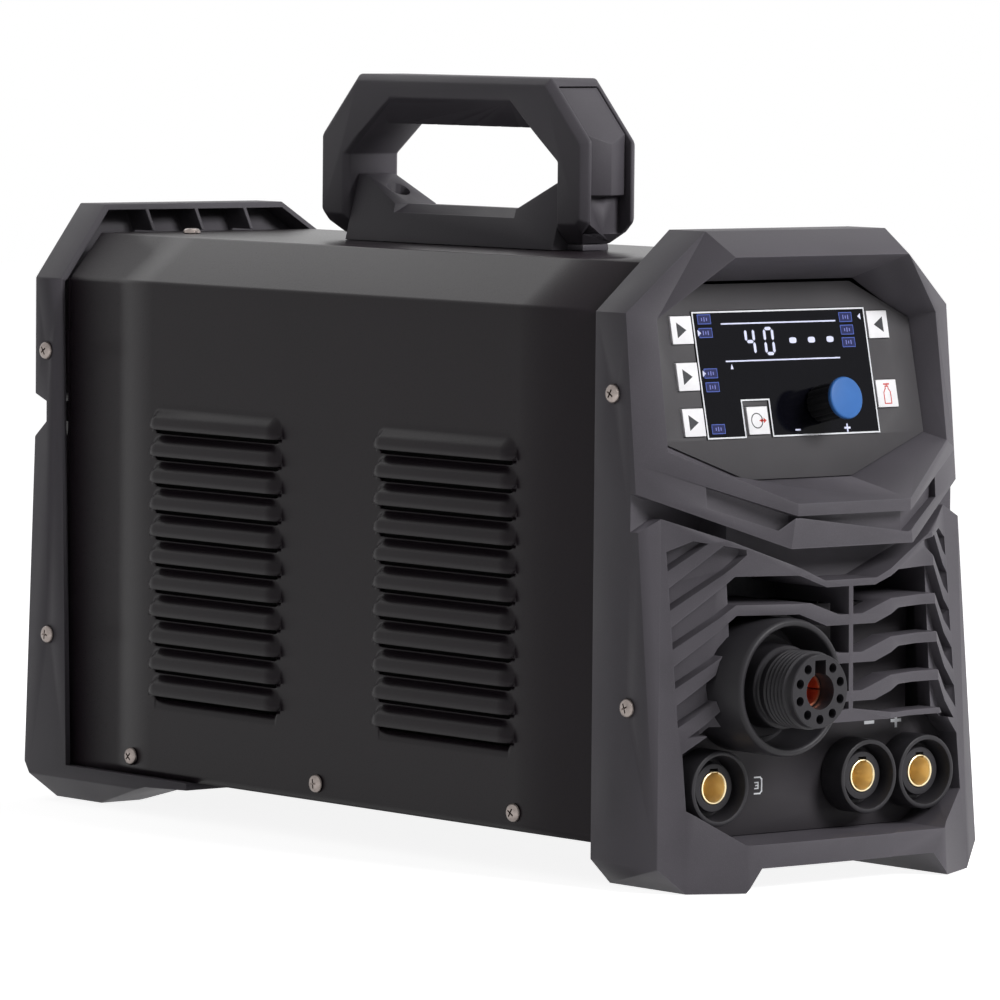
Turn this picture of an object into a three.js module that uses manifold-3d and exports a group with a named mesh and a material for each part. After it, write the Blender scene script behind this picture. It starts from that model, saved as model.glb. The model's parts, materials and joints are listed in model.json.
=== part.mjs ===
// A portable plasma cutter power unit with a built-in air compressor.
// Millimetres, +Z up, front at -Y, origin on the ground under the middle of the box.
// Everything is worked out from the driving dimensions below.

import * as THREE from 'three';
import { mergeVertices } from 'three/addons/utils/BufferGeometryUtils.js';
import Module from 'manifold-3d';

const wasm = await Module();
wasm.setup();

// ---------------------------------------------------------------- clearances
const GAP = 0.3; // between two pieces that touch
const SEAT = 0.35; // radial clearance of a round piece in its hole
const OVER = 2; // how far a cutter runs past the face it cuts
const REACH = 120; // length of the cutters that run out through the front

// ------------------------------------------------------- case and its sheets
const FRAME_HALF_WIDTH = 100;
const FRAME_PROUD = 4; // the moulded frames stand this far outside the case
const CASE_HALF_WIDTH = FRAME_HALF_WIDTH - FRAME_PROUD;
const CASE_TOP = 288;
const CASE_BOTTOM = 19;
const CASE_FRONT = -211;
const CASE_REAR = 217;
const CASE_MIDDLE_Y = 11.5;
const CHAMFER_IN = 28;
const CHAMFER_DROP = 22;
const SHEET = 1.2;
const COVER_TOP_SET = 12; // the cover's rear edge leans back by this at its top
const TRAY_LIP_HEIGHT = 22;

// -------------------------------------------------------------------- louvres
const LOUVRES_IN_GROUP = 11;
const LOUVRE_PITCH = 13.3;
const LOUVRE_LOWEST = 60.4;
const LOUVRE_LENGTH = 106;
const LOUVRE_HEIGHT = 9.6;
const LOUVRE_BULGE = 5;
const LOUVRE_END = 6;
const LOUVRE_INNER = 0.6;
const LOUVRE_GROUP_CENTRES = [94, -86];

// --------------------------------------------------------------- front frame
const FRAME_WALL = 3.6;
const FRAME_BACK = -200;
const FRAME_TOP = 303;
const FRAME_TOP_HALF = 56;
const FRAME_SHOULDER = 266;
const FRAME_WAIST = 100; // a point halfway down the straight sides
const RAKE = 0.1; // the front leans back by this much for each mm of height
const RAKE_FOOT = -248; // the raked line at the ground
const FOOT_OUTER = FRAME_HALF_WIDTH - 12;
const FOOT_INNER = 63;
const ARCH_HALF = 54;
const ARCH_HEIGHT = 11;
const FOOT_CHAMFER = 12;

// the hood round the control panel
const HOOD_SIDE_LOW = 197;
const HOOD_PROW_HALF = 35;
const HOOD_PROW_LOW = 173;
const HOOD_PROW_Y = -268.9;
const RIDGE_TOP_HALF = 54;
const RIDGE_TOP = 291.5;
const RIDGE_TOP_Y = -245;
const RIDGE_SIDE_HALF = 87;
const RIDGE_SHOULDER = 263;
const RIDGE_SIDE_LOW = 202.5;
const RIDGE_SIDE_Y = -228;
const RIDGE_SIDE_LOW_Y = -237;
const RIDGE_LOW = 178.6;

// the fascia lies in a plane of its own, leaning back more than the frame
const FASCIA_LEAN = 0.2235;
const FASCIA_FOOT_Y = -270.2; // where that plane would meet the ground
const FASCIA_TOP = 278;
const FASCIA_TOP_HALF = 48;
const FASCIA_HALF = 82.5;
const FASCIA_SHOULDER = 260;
const FASCIA_SIDE_LOW = 206;
const FASCIA_LOW = 187;
const FASCIA_LOW_HALF = 33;
const FASCIA_THICK = 1.6;

// the belt under the hood and the groove between them
const BELT_SIDE_LOW = 183;
const BELT_PROW_LOW = 157.8;
const BELT_PROW_HALF = 37.8;
const GROOVE_HEIGHT = 10;
const GROOVE_DEPTH = 7;
const GROOVE_HALF = 72;
const NECK_SET = 3.6; // the neck between belt and shield stands back by this

// the grille shield: stations across the front and how far each stands forward
const STATION_BEVEL = FRAME_HALF_WIDTH - 12;
const STATION_KNEE = 62;
const STATION_PEAK = 25;
const SHIELD_TOP_FORWARD = [0, 3, 23, 36, 36];
const SHIELD_FOOT_FORWARD = [0, 6, 20, 21, 21];
const SHIELD_TOP = 175;
const SHIELD_SIDE_TOP = 165.5;
const SHIELD_SHOULDER_TOP = 171.5;
const SHIELD_DIP_TOP = 151.5;
const SHIELD_DIP_HALF = 38;
const SHIELD_LOW_TOP = 142.3;
const SHIELD_LOW_HALF = 16;
const GRILLE_DEPTH = 13;
const SLOT_COUNT = 6;
const SLOT_PITCH = 17.9;
const SLOT_HEIGHT = 10.2;
const SLOT_TOP_OUTER = 157.7;
const SLOT_KNEE_RISE = 23.4; // the upper edge climbs by this from its outer end to the knee
const SLOT_SILL_RISE = 20.5; // and the lower edge by this
const SLOT_DIP_DROP = 6.2;
const SLOT_ROOF_PEAK = 32;
const SLOT_ROOF_DIP = 15;
const SLOT_SILL_DIP = 7;
const SLOT_SHORT_COUNT = 2; // the first slots stop inboard of the knee
const SLOT_SHORT_END = 56;
const SLOT_OUTER_X = STATION_BEVEL - 1;
const CENTRE_RIB_HALF = 1.3;
const SLOT_BLIND = 5.5; // depth of the slots that don't go through
const SLOT_OPEN_TOP = 147; // slots above this are blind
const GRILLE_BAND = 12;
const GRILLE_BAND_THIN = 3; // in the middle
const GRILLE_BAND_DIP = 6; // over the dip's corners

// the connector bay at the foot of the shield
const BAY_HALF = 86;
const BAY_TOP = 64;
const BAY_MIDDLE_TOP = 76;
const BAY_SIDE_LOW = 38;
const BAY_LOW = 22;
const BAY_LOW_HALF = 62;
const BAY_FLOOR_Y = -235.5;
const HOLLOW_HALF = 78;
const HOLLOW_LOW = 28;
const PLATE_THICK = 3;

// the sheet plate inside the frame, and the flanges that the side screws hold
const INNER_PLATE_Y = -214.5;
const SLEEVE_END = -216.5;
const FLANGE_OUTER = CASE_HALF_WIDTH - 0.2;
const FLANGE_INNER = FLANGE_OUTER - 2.4;
const FLANGE_OVER = 12;
const PLATE_WAIST = 172; // above this the plate has only its two side arms
const FLANGE_FRONT_GAP = 6.5;
const PLATE_ARM_X = CASE_HALF_WIDTH - 10;
const LIP_DEPTH = 6;

// -------------------------------------------------- torch and cable sockets
const TORCH_X = -40;
const TORCH_Z = 94;
const SHROUD_RADIUS = 32;
const SHROUD_BORE = 28.3;
const SHROUD_FRONT = -271.5;
const TORCH_FLANGE_RADIUS = 24;
const TORCH_FLANGE_FRONT = -262;
const TORCH_BODY_RADIUS = 17.1;
const TORCH_BODY_FRONT = -291;
const TORCH_THREAD_DEPTH = 1.1;
const TORCH_THREAD_PITCH = 2.6;
const TORCH_THREADS = 6;
const TORCH_COLLAR = 5.6; // the plain collar in front of the thread
const TORCH_STEM = 20;
const TORCH_FLOOR_Y = -246;
const TORCH_BACK = -222;
const TORCH_BORE = 8.4;
const TORCH_PIN_CIRCLE = 13;
const TORCH_PIN_HOLE = 2.4;
const TORCH_PIN_PLACES = 10;
const TORCH_KEY_WIDTH = 7.6;
const TORCH_KEY_TOP = 14.6;
const CONTACT_LENGTH = 24;
const CONTACT_WALL = 1.5;
const CONTACT_SPLIT = 0.8;

const SOCKET_X = [-64.4, 28, 64.4];
const SOCKET_Z = 47;
const SOCKET_NAMES = ['left', 'middle', 'right'];
const SOCKET_FRONT = -250.4;
const SOCKET_RADIUS = 17.6;
const SOCKET_CUP = 15;
const SOCKET_CORE = 11.5;
const SOCKET_CORE_BACK = 5;
const SOCKET_BORE_RADIUS = 6.5;
const SOCKET_BRASS_RADIUS = 7.7;
const SOCKET_BRASS_BACK = 4.4;
const SOCKET_KEY_WIDTH = 4.4;
const SOCKET_KEY_RADIUS = 8.6;
const SOCKET_STUD_BACK = -206;
const SOCKET_STEM = 12;
const SOCKET_SIDES = 20;

// --------------------------------------------------------- controls in front
const DISPLAY_HALF = 53.8;
const DISPLAY_TOP = 265.2;
const DISPLAY_LOW = 206.6;
const DISPLAY_NOTCH = [-30, -13.6];
const DISPLAY_NOTCH_TOP = 223.6;
const DISPLAY_PROUD = 0.7;
const BUTTON_SIZE = 12.8;
const BUTTON_PROUD = 1.2;
const BUTTON_TRAVEL = 0.8;
const BUTTON_PLACES = [
  ['button_left_upper', -61.2, 257],
  ['button_left_middle', -61.2, 235.6],
  ['button_left_lower', -61.2, 214.6],
  ['button_right_upper', 61.2, 257],
  ['button_gas_test', 61.2, 224.6],
  ['button_torch_mode', -21.8, 214.4],
];
const KNOB_X = 17.4;
const KNOB_Z = 220;
const KNOB_RADIUS = 8.8;
const KNOB_FLUTES = 14;
const KNOB_FLUTE = 0.8;
const KNOB_LENGTH = 16.5;
const CAP_RADIUS = 10;
const CAP_LENGTH = 2.4;
const ENCODER_SHAFT = 3;
const ENCODER_BUSH = 4.5;
const BOARD_BACK = 9; // the display board lies this far behind the fascia
const BOARD_THICK = 1.6;
const SWITCH_TALL = 4;

// ---------------------------------------------------------------- rear frame
const REAR_TOP = 302;
const REAR_TOP_HALF = 57;
const REAR_LIP_TOP = 220;
const REAR_LIP_LOW = 214;
const REAR_FACE_TOP = 241.8;
const REAR_FACE_LOW = 250;
const REAR_NOTCH_DEPTH = 9.5;
const REAR_NOTCH = [184.7, 192.6, 202.8, 206.3];
const REAR_WALL = 3;
const REAR_RIBS = [-31.5, 0, 31.5];
const REAR_SLED_FRONT = 112;
const REAR_OPENING_TOP = 246;
const REAR_OPENING_LOW = 44;
const REAR_OPENING_HALF = 80;
const REAR_PANEL_BACK = 218.8;
const REAR_FLANGE_OUTER = FRAME_HALF_WIDTH - REAR_WALL - GAP;
const REAR_TAB = 11;
const REAR_SHOULDER = 265.5;
const REAR_TOP_SET = 21; // the top of the collar stands this far behind its sides
const REAR_HEEL = 18;
const SLED_NOSE_LOW = 15;
const SLED_NOSE_Y = 147;
const SLED_FLAT_Y = 200;
const SLED_INNER = 62;

const SIDE_SCREW_Z = [84.3, 228.6];
const FRONT_SCREW_Y = [-225.9, -213.4];
const REAR_SCREW_Y = [229.3, 231.6];
const SKIRT_SCREW_Z = 27.6;
const SKIRT_SCREW_Y = [-139.4, 11.6, 162.7];
const SCREW_HEAD = 4.5;
const SCREW_HEAD_HEIGHT = 2.4;
const SCREW_SHANK = 2;
const SCREW_LENGTH = 9;
const SCREW_RECESS = 1.3;
const SCREW_RECESS_DEPTH = 1.2;
const TOP_SCREW_X = -34;
const TOP_SCREW_Y = 198;

// -------------------------------------------------------------------- handle
const HANDLE_HALF_LENGTH = 103.5;
const HANDLE_TOP_HALF = 74.5;
const HANDLE_TOP = 371;
const HANDLE_SHOULDER = 341;
const HANDLE_HEEL = 302;
const HANDLE_LOW = 291.5;
const HANDLE_LOW_HALF = 92;
const HANDLE_HALF_WIDTH = 17.5;
const OPENING_HALF = 81;
const OPENING_TOP_HALF = 46.5;
const OPENING_TOP = 360;
const OPENING_SHOULDER = 331;
const POST_CHAMFER = 2.8; // on the inner edges of the posts
const BELLY_LOW = 346.6; // the grip swells downward to this in the middle
const BELLY_HALF = 6;
const OPENING_LEDGE = 321;
const PLINTH_TOP = 307;
const PLINTH_TOP_HALF = 47;
const PLINTH_SIDE_HALF = 75;
const PLINTH_HALF_WIDTH = 18;
const PLINTH_LEDGE_HALF_WIDTH = 9;
const PLINTH_BAR_HALF = 12.8;
const PLINTH_BAR_SIDE = 302.8;
const PLINTH_RIDGE_HALF = 4;
const HANDLE_HEEL_HALF = 8;
const END_BAND_TOP = 367;
const SHIELD_SEAT = 8;
const SHIELD_HALF = 12;
const SHIELD_EDGE_SET = 4.4; // the cover's edges lie this far behind its crease
const SHIELD_SET = 0.8; // its sloping panel lies this far under the bow
const POCKET_TOP = 315;
const POCKET_DEPTH = 9;
const GRIP_RIBS = 5;
const GRIP_RIB_PITCH = 16.5;
const GRIP_RIB_DEPTH = 0.9;
const GRIP_BEVEL = 3.5;
const PLINTH_SCREW_Y = 61;
const PLINTH_WELL = 6;

// ---------------------------------------------------------------- rear parts
const FAN_CENTRE_Z = 168;
const FAN_HALF = 60;
const FAN_DEPTH = 25;
const FAN_BORE = 56;
const FAN_HUB = 20;
const BLADE_CHORD = 8;
const BLADE_THICK = 0.9;
const FAN_BLADES = 7;
const FAN_TIP = 51.5;
const FAN_PIN = 3;
const FAN_CORNER = 52.5;
const GUARD_RINGS = 3;
const GUARD_WIRE = 1.3;
const SWITCH_X = -48;
const SWITCH_Z = 76;
const SWITCH_HALF_WIDTH = 11;
const SWITCH_HALF_HEIGHT = 14;
const SWITCH_WALL = 2;
const ROCKER_TILT_DEG = 9;
const ROCKER_PIVOT_Y = 216;
const ROCKER_RISE = 3.6;
const ROCKER_PIN = 1.4;
const GLAND_X = 48;
const GLAND_Z = 76;
const GLAND_RADIUS = 11;
const GLAND_BORE = 4.5;
const GLAND_THREAD = 8;
const AIR_X = 0;
const AIR_Z = 76;
const AIR_BORE = 3.4;
const AIR_THREAD = 6;

// ------------------------------------------------------------- inner parts
const SHELF_Z = 152;
const SHELF_FRONT = -180;
const SHELF_BACK = 176;
const BOARD_Z = 160;
const BOARD_FRONT = -172;
const BOARD_LENGTH = 190;
const POST_PLACES = [[-70, -164], [70, -164], [-70, 10], [70, 10]];
const SINK_HALF = 62;
const SINK_FINS = 12;
const SINK_FIN = 2.4;
const SINK_BASE = 6;
const SINK_TOP = 225;
const SINK_FRONT = -100;
const SINK_LENGTH = 105;
const TRANSFORMER_PLACE = [38, -120];
const COMPRESSOR_X = 0;
const COMPRESSOR_Z = 78;
const MOTOR_RADIUS = 38;
const MOTOR_FRONT = 20;
const MOTOR_BACK = 150;
const HEAD_LENGTH = 62;

// -------------------------------------------------------------- materials
const plastic = { roughness: 0.55, metalness: 0 };
const MATERIALS = {
  frame: { color: 0x3c3b40, ...plastic },
  sheet: { color: 0x2b292c, roughness: 0.42, metalness: 0.3 },
  fascia: { color: 0x4a494d, roughness: 0.6, metalness: 0 },
  glass: { color: 0x08080c, roughness: 0.12, metalness: 0 },
  key: { color: 0xdfdfe2, roughness: 0.5, metalness: 0 },
  knob: { color: 0x17171a, roughness: 0.5, metalness: 0 },
  blue: { color: 0x3d7cc4, roughness: 0.45, metalness: 0 },
  bay: { color: 0x1d1d20, roughness: 0.6, metalness: 0 },
  insulator: { color: 0x26262a, roughness: 0.5, metalness: 0 },
  brass: { color: 0xd9a860, roughness: 0.28, metalness: 1 },
  copper: { color: 0xa8503a, roughness: 0.35, metalness: 1 },
  nickel: { color: 0xb4b2ae, roughness: 0.3, metalness: 1 },
  zinc: { color: 0x9a9b9c, roughness: 0.4, metalness: 0.9 },
  aluminium: { color: 0xb9bbbd, roughness: 0.4, metalness: 0.9 },
  board: { color: 0x1f4a2c, roughness: 0.6, metalness: 0 },
  core: { color: 0x4b3b34, roughness: 0.6, metalness: 0.2 },
  rubber: { color: 0x1a1a1b, roughness: 0.85, metalness: 0 },
};

// =================================================================== helpers

const unit = new THREE.Group();
unit.position.y = -(TORCH_BODY_FRONT + REAR_FACE_TOP + REAR_TOP_SET) / 2; // middle of the box on the origin

function toSolid(geometry) {
  const bare = geometry.clone();
  bare.deleteAttribute('normal');
  bare.deleteAttribute('uv');
  const merged = mergeVertices(bare, 1e-4);
  const vertProperties = Float32Array.from(merged.attributes.position.array);
  const triVerts = withoutSlivers(merged.index.array);
  if (signedVolume(vertProperties, triVerts) < 0) {
    for (let i = 0; i < triVerts.length; i += 3) {
      [triVerts[i + 1], triVerts[i + 2]] = [triVerts[i + 2], triVerts[i + 1]];
    }
  }
  return new wasm.Manifold(new wasm.Mesh({ numProp: 3, vertProperties, triVerts }));
}

// drops triangles that the merge has closed to a line, as at the poles of a turned body
function withoutSlivers(index) {
  const kept = [];
  for (let i = 0; i < index.length; i += 3) {
    const [a, b, c] = [index[i], index[i + 1], index[i + 2]];
    if (a !== b && b !== c && a !== c) kept.push(a, b, c);
  }
  return Uint32Array.from(kept);
}

function signedVolume(points, triangles) {
  let volume = 0;
  const a = new THREE.Vector3();
  const b = new THREE.Vector3();
  const c = new THREE.Vector3();
  for (let i = 0; i < triangles.length; i += 3) {
    a.fromArray(points, 3 * triangles[i]);
    b.fromArray(points, 3 * triangles[i + 1]);
    c.fromArray(points, 3 * triangles[i + 2]);
    volume += a.dot(b.cross(c)) / 6;
  }
  return volume;
}

function toGeometry(solid) {
  const mesh = solid.getMesh();
  const geometry = new THREE.BufferGeometry();
  geometry.setAttribute('position', new THREE.BufferAttribute(Float32Array.from(mesh.vertProperties), 3));
  geometry.setIndex(new THREE.BufferAttribute(Uint32Array.from(mesh.triVerts), 1));
  geometry.computeVertexNormals();
  return geometry;
}

function addPiece(name, solid, material) {
  const mesh = new THREE.Mesh(toGeometry(solid), new THREE.MeshStandardMaterial(MATERIALS[material]));
  mesh.name = name;
  unit.add(mesh);
  return mesh;
}

function join(solids) {
  return solids.reduce((sum, next) => sum.add(next));
}

function cutAll(solid, cutters) {
  return cutters.reduce((rest, cutter) => rest.subtract(cutter), solid);
}

function block(x0, x1, y0, y1, z0, z1) {
  const geometry = new THREE.BoxGeometry(x1 - x0, y1 - y0, z1 - z0);
  geometry.translate((x0 + x1) / 2, (y0 + y1) / 2, (z0 + z1) / 2);
  return toSolid(geometry);
}

function shapeOf(points, holes = []) {
  const shape = new THREE.Shape(points.map(([u, v]) => new THREE.Vector2(u, v)));
  for (const hole of holes) {
    shape.holes.push(new THREE.Path(hole.map(([u, v]) => new THREE.Vector2(u, v))));
  }
  return shape;
}

// an outline seen from the front (x, z), from y0 (rear) to y1 (front)
function fromFront(points, yRear, yFront, holes = []) {
  const geometry = new THREE.ExtrudeGeometry(shapeOf(points, holes), { depth: yRear - yFront,
    bevelEnabled: false });
  geometry.rotateX(Math.PI / 2);
  geometry.translate(0, yRear, 0);
  return toSolid(geometry);
}

// an outline seen from the side (y, z), from x0 to x1
function fromSide(points, x0, x1) {
  const geometry = new THREE.ExtrudeGeometry(shapeOf(points), { depth: x1 - x0, bevelEnabled: false });
  geometry.rotateX(Math.PI / 2);
  geometry.rotateZ(Math.PI / 2);
  geometry.translate(x0, 0, 0);
  return toSolid(geometry);
}

// an outline seen from above (x, y), from z0 to z1
function fromAbove(points, z0, z1) {
  const geometry = new THREE.ExtrudeGeometry(shapeOf(points), { depth: z1 - z0, bevelEnabled: false });
  geometry.translate(0, 0, z0);
  return toSolid(geometry);
}

// a revolved profile of [radius, y] points about a line along Y through (x, z)
function turnedY(profile, x, z, sides) {
  const geometry = new THREE.LatheGeometry(profile.map(([r, y]) => new THREE.Vector2(r, y)), sides);
  geometry.translate(x, 0, z);
  return toSolid(geometry);
}

function rod(axis, radius, from, to, a, b, sides = 24) {
  const geometry = new THREE.CylinderGeometry(radius, radius, Math.abs(to - from), sides);
  const middle = (from + to) / 2;
  if (axis === 'x') {
    geometry.rotateZ(Math.PI / 2);
    geometry.translate(middle, a, b);
  }
  if (axis === 'y') geometry.translate(a, middle, b);
  if (axis === 'z') {
    geometry.rotateX(Math.PI / 2);
    geometry.translate(a, b, middle);
  }
  return toSolid(geometry);
}

// a closed body through rings of points, each ring with as many points
function loft(rings) {
  const count = rings[0].length;
  const positions = rings.flat(2);
  const index = [];
  for (let r = 0; r < rings.length - 1; r += 1) {
    for (let i = 0; i < count; i += 1) {
      const a = r * count + i;
      const b = r * count + ((i + 1) % count);
      index.push(a, b, a + count, b, b + count, a + count);
    }
  }
  capRing(index, rings[0], 0, true);
  capRing(index, rings[rings.length - 1], (rings.length - 1) * count, false);
  const geometry = new THREE.BufferGeometry();
  geometry.setAttribute('position', new THREE.BufferAttribute(new Float32Array(positions), 3));
  geometry.setIndex(index);
  return toSolid(geometry);
}

// closes a ring by triangulating it in the plane that it spans most of
function capRing(index, ring, start, reverse) {
  const area = new THREE.Vector3();
  const p = ring.map(([x, y, z]) => new THREE.Vector3(x, y, z));
  for (let i = 0; i < p.length; i += 1) {
    area.add(new THREE.Vector3().crossVectors(p[i], p[(i + 1) % p.length]));
  }
  const size = [Math.abs(area.x), Math.abs(area.y), Math.abs(area.z)];
  const axis = size.indexOf(Math.max(...size));
  const flat = p.map((q) => {
    if (axis === 0) return new THREE.Vector2(q.y, q.z);
    if (axis === 1) return new THREE.Vector2(q.z, q.x);
    return new THREE.Vector2(q.x, q.y);
  });
  const clockwise = THREE.ShapeUtils.isClockWise(flat);
  const order = flat.map((_, i) => (clockwise ? flat.length - 1 - i : i));
  const triangles = THREE.ShapeUtils.triangulateShape(order.map((i) => flat[i]), []);
  for (const [a, b, c] of triangles) {
    const face = [order[a], order[b], order[c]];
    if (clockwise) face.reverse();
    if (reverse) face.reverse();
    index.push(start + face[0], start + face[1], start + face[2]);
  }
}

function mirrorX(points) {
  return [...points, ...points.map(([x, ...rest]) => [-x, ...rest]).reverse()];
}

const rakedY = (z) => RAKE_FOOT + RAKE * z;
const fasciaY = (z) => FASCIA_FOOT_Y + FASCIA_LEAN * z;
const FASCIA_ANGLE = Math.atan(FASCIA_LEAN);

// ============================================================= front frame

function octagon(halfTop, top, half, shoulder, sideLow, lowHalf, low) {
  return mirrorX([[halfTop, top], [half, shoulder], [half, sideLow], [lowHalf, low]]);
}

// one horizontal section of the shield, stood back by inset
function shieldSection(z, inset) {
  const t = z / SHIELD_TOP;
  const stations = [FRAME_HALF_WIDTH, STATION_BEVEL, STATION_KNEE, STATION_PEAK, 0];
  const front = stations.map((x, i) => {
    const forward = SHIELD_FOOT_FORWARD[i] * (1 - t) + SHIELD_TOP_FORWARD[i] * t;
    const narrow = x * (1 - inset / FRAME_HALF_WIDTH / 3);
    return [narrow, rakedY(z) - forward + inset, z];
  });
  const back = [front[0][0], FRAME_BACK + OVER, z];
  const right = [back, ...front];
  const left = right.slice(0, -1).map(([x, y, h]) => [-x, y, h]).reverse();
  return [...right, ...left];
}

function shieldPrism(inset, low, high) {
  return loft([shieldSection(low, inset), shieldSection(high, inset)]);
}

function shieldOutline() {
  return mirrorX([
    [SHIELD_LOW_HALF, SHIELD_LOW_TOP],
    [SHIELD_DIP_HALF, SHIELD_DIP_TOP],
    [STATION_BEVEL, SHIELD_SHOULDER_TOP],
    [FRAME_HALF_WIDTH, SHIELD_SIDE_TOP],
    [FRAME_HALF_WIDTH, FOOT_CHAMFER],
    [FOOT_OUTER, 0],
    [FOOT_INNER, 0],
    [ARCH_HALF, ARCH_HEIGHT],
  ]);
}

function ringAt(points, heightToY) {
  return points.map(([x, z]) => [x, heightToY(x, z), z]);
}

function hoodBody() {
  const outer = octagon(
    FRAME_TOP_HALF, FRAME_TOP, FRAME_HALF_WIDTH, FRAME_SHOULDER, HOOD_SIDE_LOW, HOOD_PROW_HALF,
      HOOD_PROW_LOW);
  const outerY = (x, z) => {
    if (z === FRAME_TOP) return rakedY(z) - 8;
    if (z === HOOD_PROW_LOW) return HOOD_PROW_Y;
    return rakedY(z);
  };
  const ridge = octagon(
    RIDGE_TOP_HALF, RIDGE_TOP, RIDGE_SIDE_HALF, RIDGE_SHOULDER, RIDGE_SIDE_LOW, HOOD_PROW_HALF, RIDGE_LOW);
  const ridgeY = (x, z) => {
    if (z === RIDGE_TOP) return RIDGE_TOP_Y;
    if (z === RIDGE_LOW) return HOOD_PROW_Y;
    return z === RIDGE_SHOULDER ? RIDGE_SIDE_Y : RIDGE_SIDE_LOW_Y;
  };
  return loft([
    ringAt(outer, () => FRAME_BACK),
    ringAt(outer, outerY),
    ringAt(ridge, ridgeY),
    ringAt(fasciaOutline(0), (x, z) => fasciaY(z)),
  ]);
}

function fasciaOutline(inset) {
  return octagon(
    FASCIA_TOP_HALF - inset / 2, FASCIA_TOP - inset, FASCIA_HALF - inset, FASCIA_SHOULDER - inset / 2,
    FASCIA_SIDE_LOW + inset / 2, FASCIA_LOW_HALF - inset / 2, FASCIA_LOW + inset);
}

function beltBody() {
  const level = (side, prow, half) => [
    [FRAME_HALF_WIDTH, FRAME_BACK, side],
    [FRAME_HALF_WIDTH, rakedY(side), side],
    [half, HOOD_PROW_Y + 1.2, prow],
    [-half, HOOD_PROW_Y + 1.2, prow],
    [-FRAME_HALF_WIDTH, rakedY(side), side],
    [-FRAME_HALF_WIDTH, FRAME_BACK, side],
    [-half, FRAME_BACK, prow],
    [half, FRAME_BACK, prow],
  ];
  const body = loft([
    level(BELT_SIDE_LOW, BELT_PROW_LOW, BELT_PROW_HALF),
    level(HOOD_SIDE_LOW + OVER, HOOD_PROW_LOW + OVER, HOOD_PROW_HALF),
  ]);
  const slope = (HOOD_SIDE_LOW - HOOD_PROW_LOW) / (FRAME_HALF_WIDTH - HOOD_PROW_HALF);
  const grooveSide = HOOD_PROW_LOW + slope * (GROOVE_HALF - HOOD_PROW_HALF);
  const lineY = (x) => {
    const t = (FRAME_HALF_WIDTH - x) / (FRAME_HALF_WIDTH - HOOD_PROW_HALF);
    return rakedY(HOOD_SIDE_LOW) * (1 - t) + HOOD_PROW_Y * t;
  };
  const grooveLevel = (drop) => mirrorX([
    [GROOVE_HALF, lineY(GROOVE_HALF) + GROOVE_DEPTH - 3, grooveSide - drop],
    [GROOVE_HALF - 4, lineY(GROOVE_HALF) - 25, grooveSide - drop],
    [HOOD_PROW_HALF, HOOD_PROW_Y - 25, HOOD_PROW_LOW - drop],
  ]);
  const inner = (drop) => [
    ...grooveLevel(drop),
    [-HOOD_PROW_HALF, HOOD_PROW_Y + GROOVE_DEPTH, HOOD_PROW_LOW - drop],
    [HOOD_PROW_HALF, HOOD_PROW_Y + GROOVE_DEPTH, HOOD_PROW_LOW - drop],
  ];
  return body.subtract(loft([inner(GROOVE_HEIGHT), inner(0)]));
}

// chevron slots: up from the outer ends, level, then a dip in the middle; the first ones are short
function slotShape(index) {
  const top = SLOT_TOP_OUTER - index * SLOT_PITCH;
  const line = (z, rise, peak, dip) => {
    if (index < SLOT_SHORT_COUNT) {
      const further = (SLOT_OUTER_X - SLOT_SHORT_END) / (SLOT_OUTER_X - STATION_KNEE);
      return [[SLOT_OUTER_X, z], [SLOT_SHORT_END, z + rise * further]];
    }
    return [
      [SLOT_OUTER_X, z],
      [STATION_KNEE, z + rise],
      [peak, z + rise],
      [dip, z + rise - SLOT_DIP_DROP],
      [CENTRE_RIB_HALF, z + rise - SLOT_DIP_DROP],
    ];
  };
  const upper = line(top, SLOT_KNEE_RISE, SLOT_ROOF_PEAK, SLOT_ROOF_DIP);
  const lower = line(top - SLOT_HEIGHT, SLOT_SILL_RISE, STATION_PEAK, SLOT_SILL_DIP);
  return [...upper, ...lower.reverse()];
}

function grilleRegion() {
  const right = [
    [CENTRE_RIB_HALF, SHIELD_LOW_TOP - GRILLE_BAND_THIN],
    [SLOT_ROOF_DIP, SHIELD_LOW_TOP - GRILLE_BAND_THIN],
    [SLOT_ROOF_PEAK, SHIELD_DIP_TOP - GRILLE_BAND_DIP],
    [SLOT_SHORT_END, SHIELD_SHOULDER_TOP - GRILLE_BAND - 2],
    [SLOT_OUTER_X - 10, SHIELD_SHOULDER_TOP - GRILLE_BAND + 2],
    [SLOT_OUTER_X, SHIELD_SHOULDER_TOP - GRILLE_BAND - 3],
    [SLOT_OUTER_X, BAY_TOP + 7],
    [CENTRE_RIB_HALF, BAY_MIDDLE_TOP + 6],
  ];
  return right;
}

// the slots go through in the middle; toward the sides and the top they are blind
function grilleSlots() {
  const deep = shieldPrism(SLOT_BLIND, 0, SHIELD_TOP + OVER);
  const behind = (x0, x1, z0) => block(x0, x1, FRAME_BACK - REACH, FRAME_BACK, z0, SHIELD_TOP);
  const kept = deep.intersect(join([
    behind(-FRAME_HALF_WIDTH, -STATION_KNEE, 0),
    behind(STATION_KNEE, FRAME_HALF_WIDTH, 0),
    behind(-STATION_KNEE, STATION_KNEE, SLOT_OPEN_TOP),
  ]));
  const cutters = [];
  for (const side of [1, -1]) {
    const outline = grilleRegion().map(([x, z]) => [side * x, z]);
    const region = fromFront(outline, FRAME_BACK, FRAME_BACK - REACH).subtract(kept);
    for (let i = 0; i < SLOT_COUNT; i += 1) {
      const points = slotShape(i).map(([x, z]) => [side * x, z]);
      cutters.push(fromFront(points, FRAME_BACK - 8, FRAME_BACK - REACH).intersect(region));
    }
  }
  return cutters;
}

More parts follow.
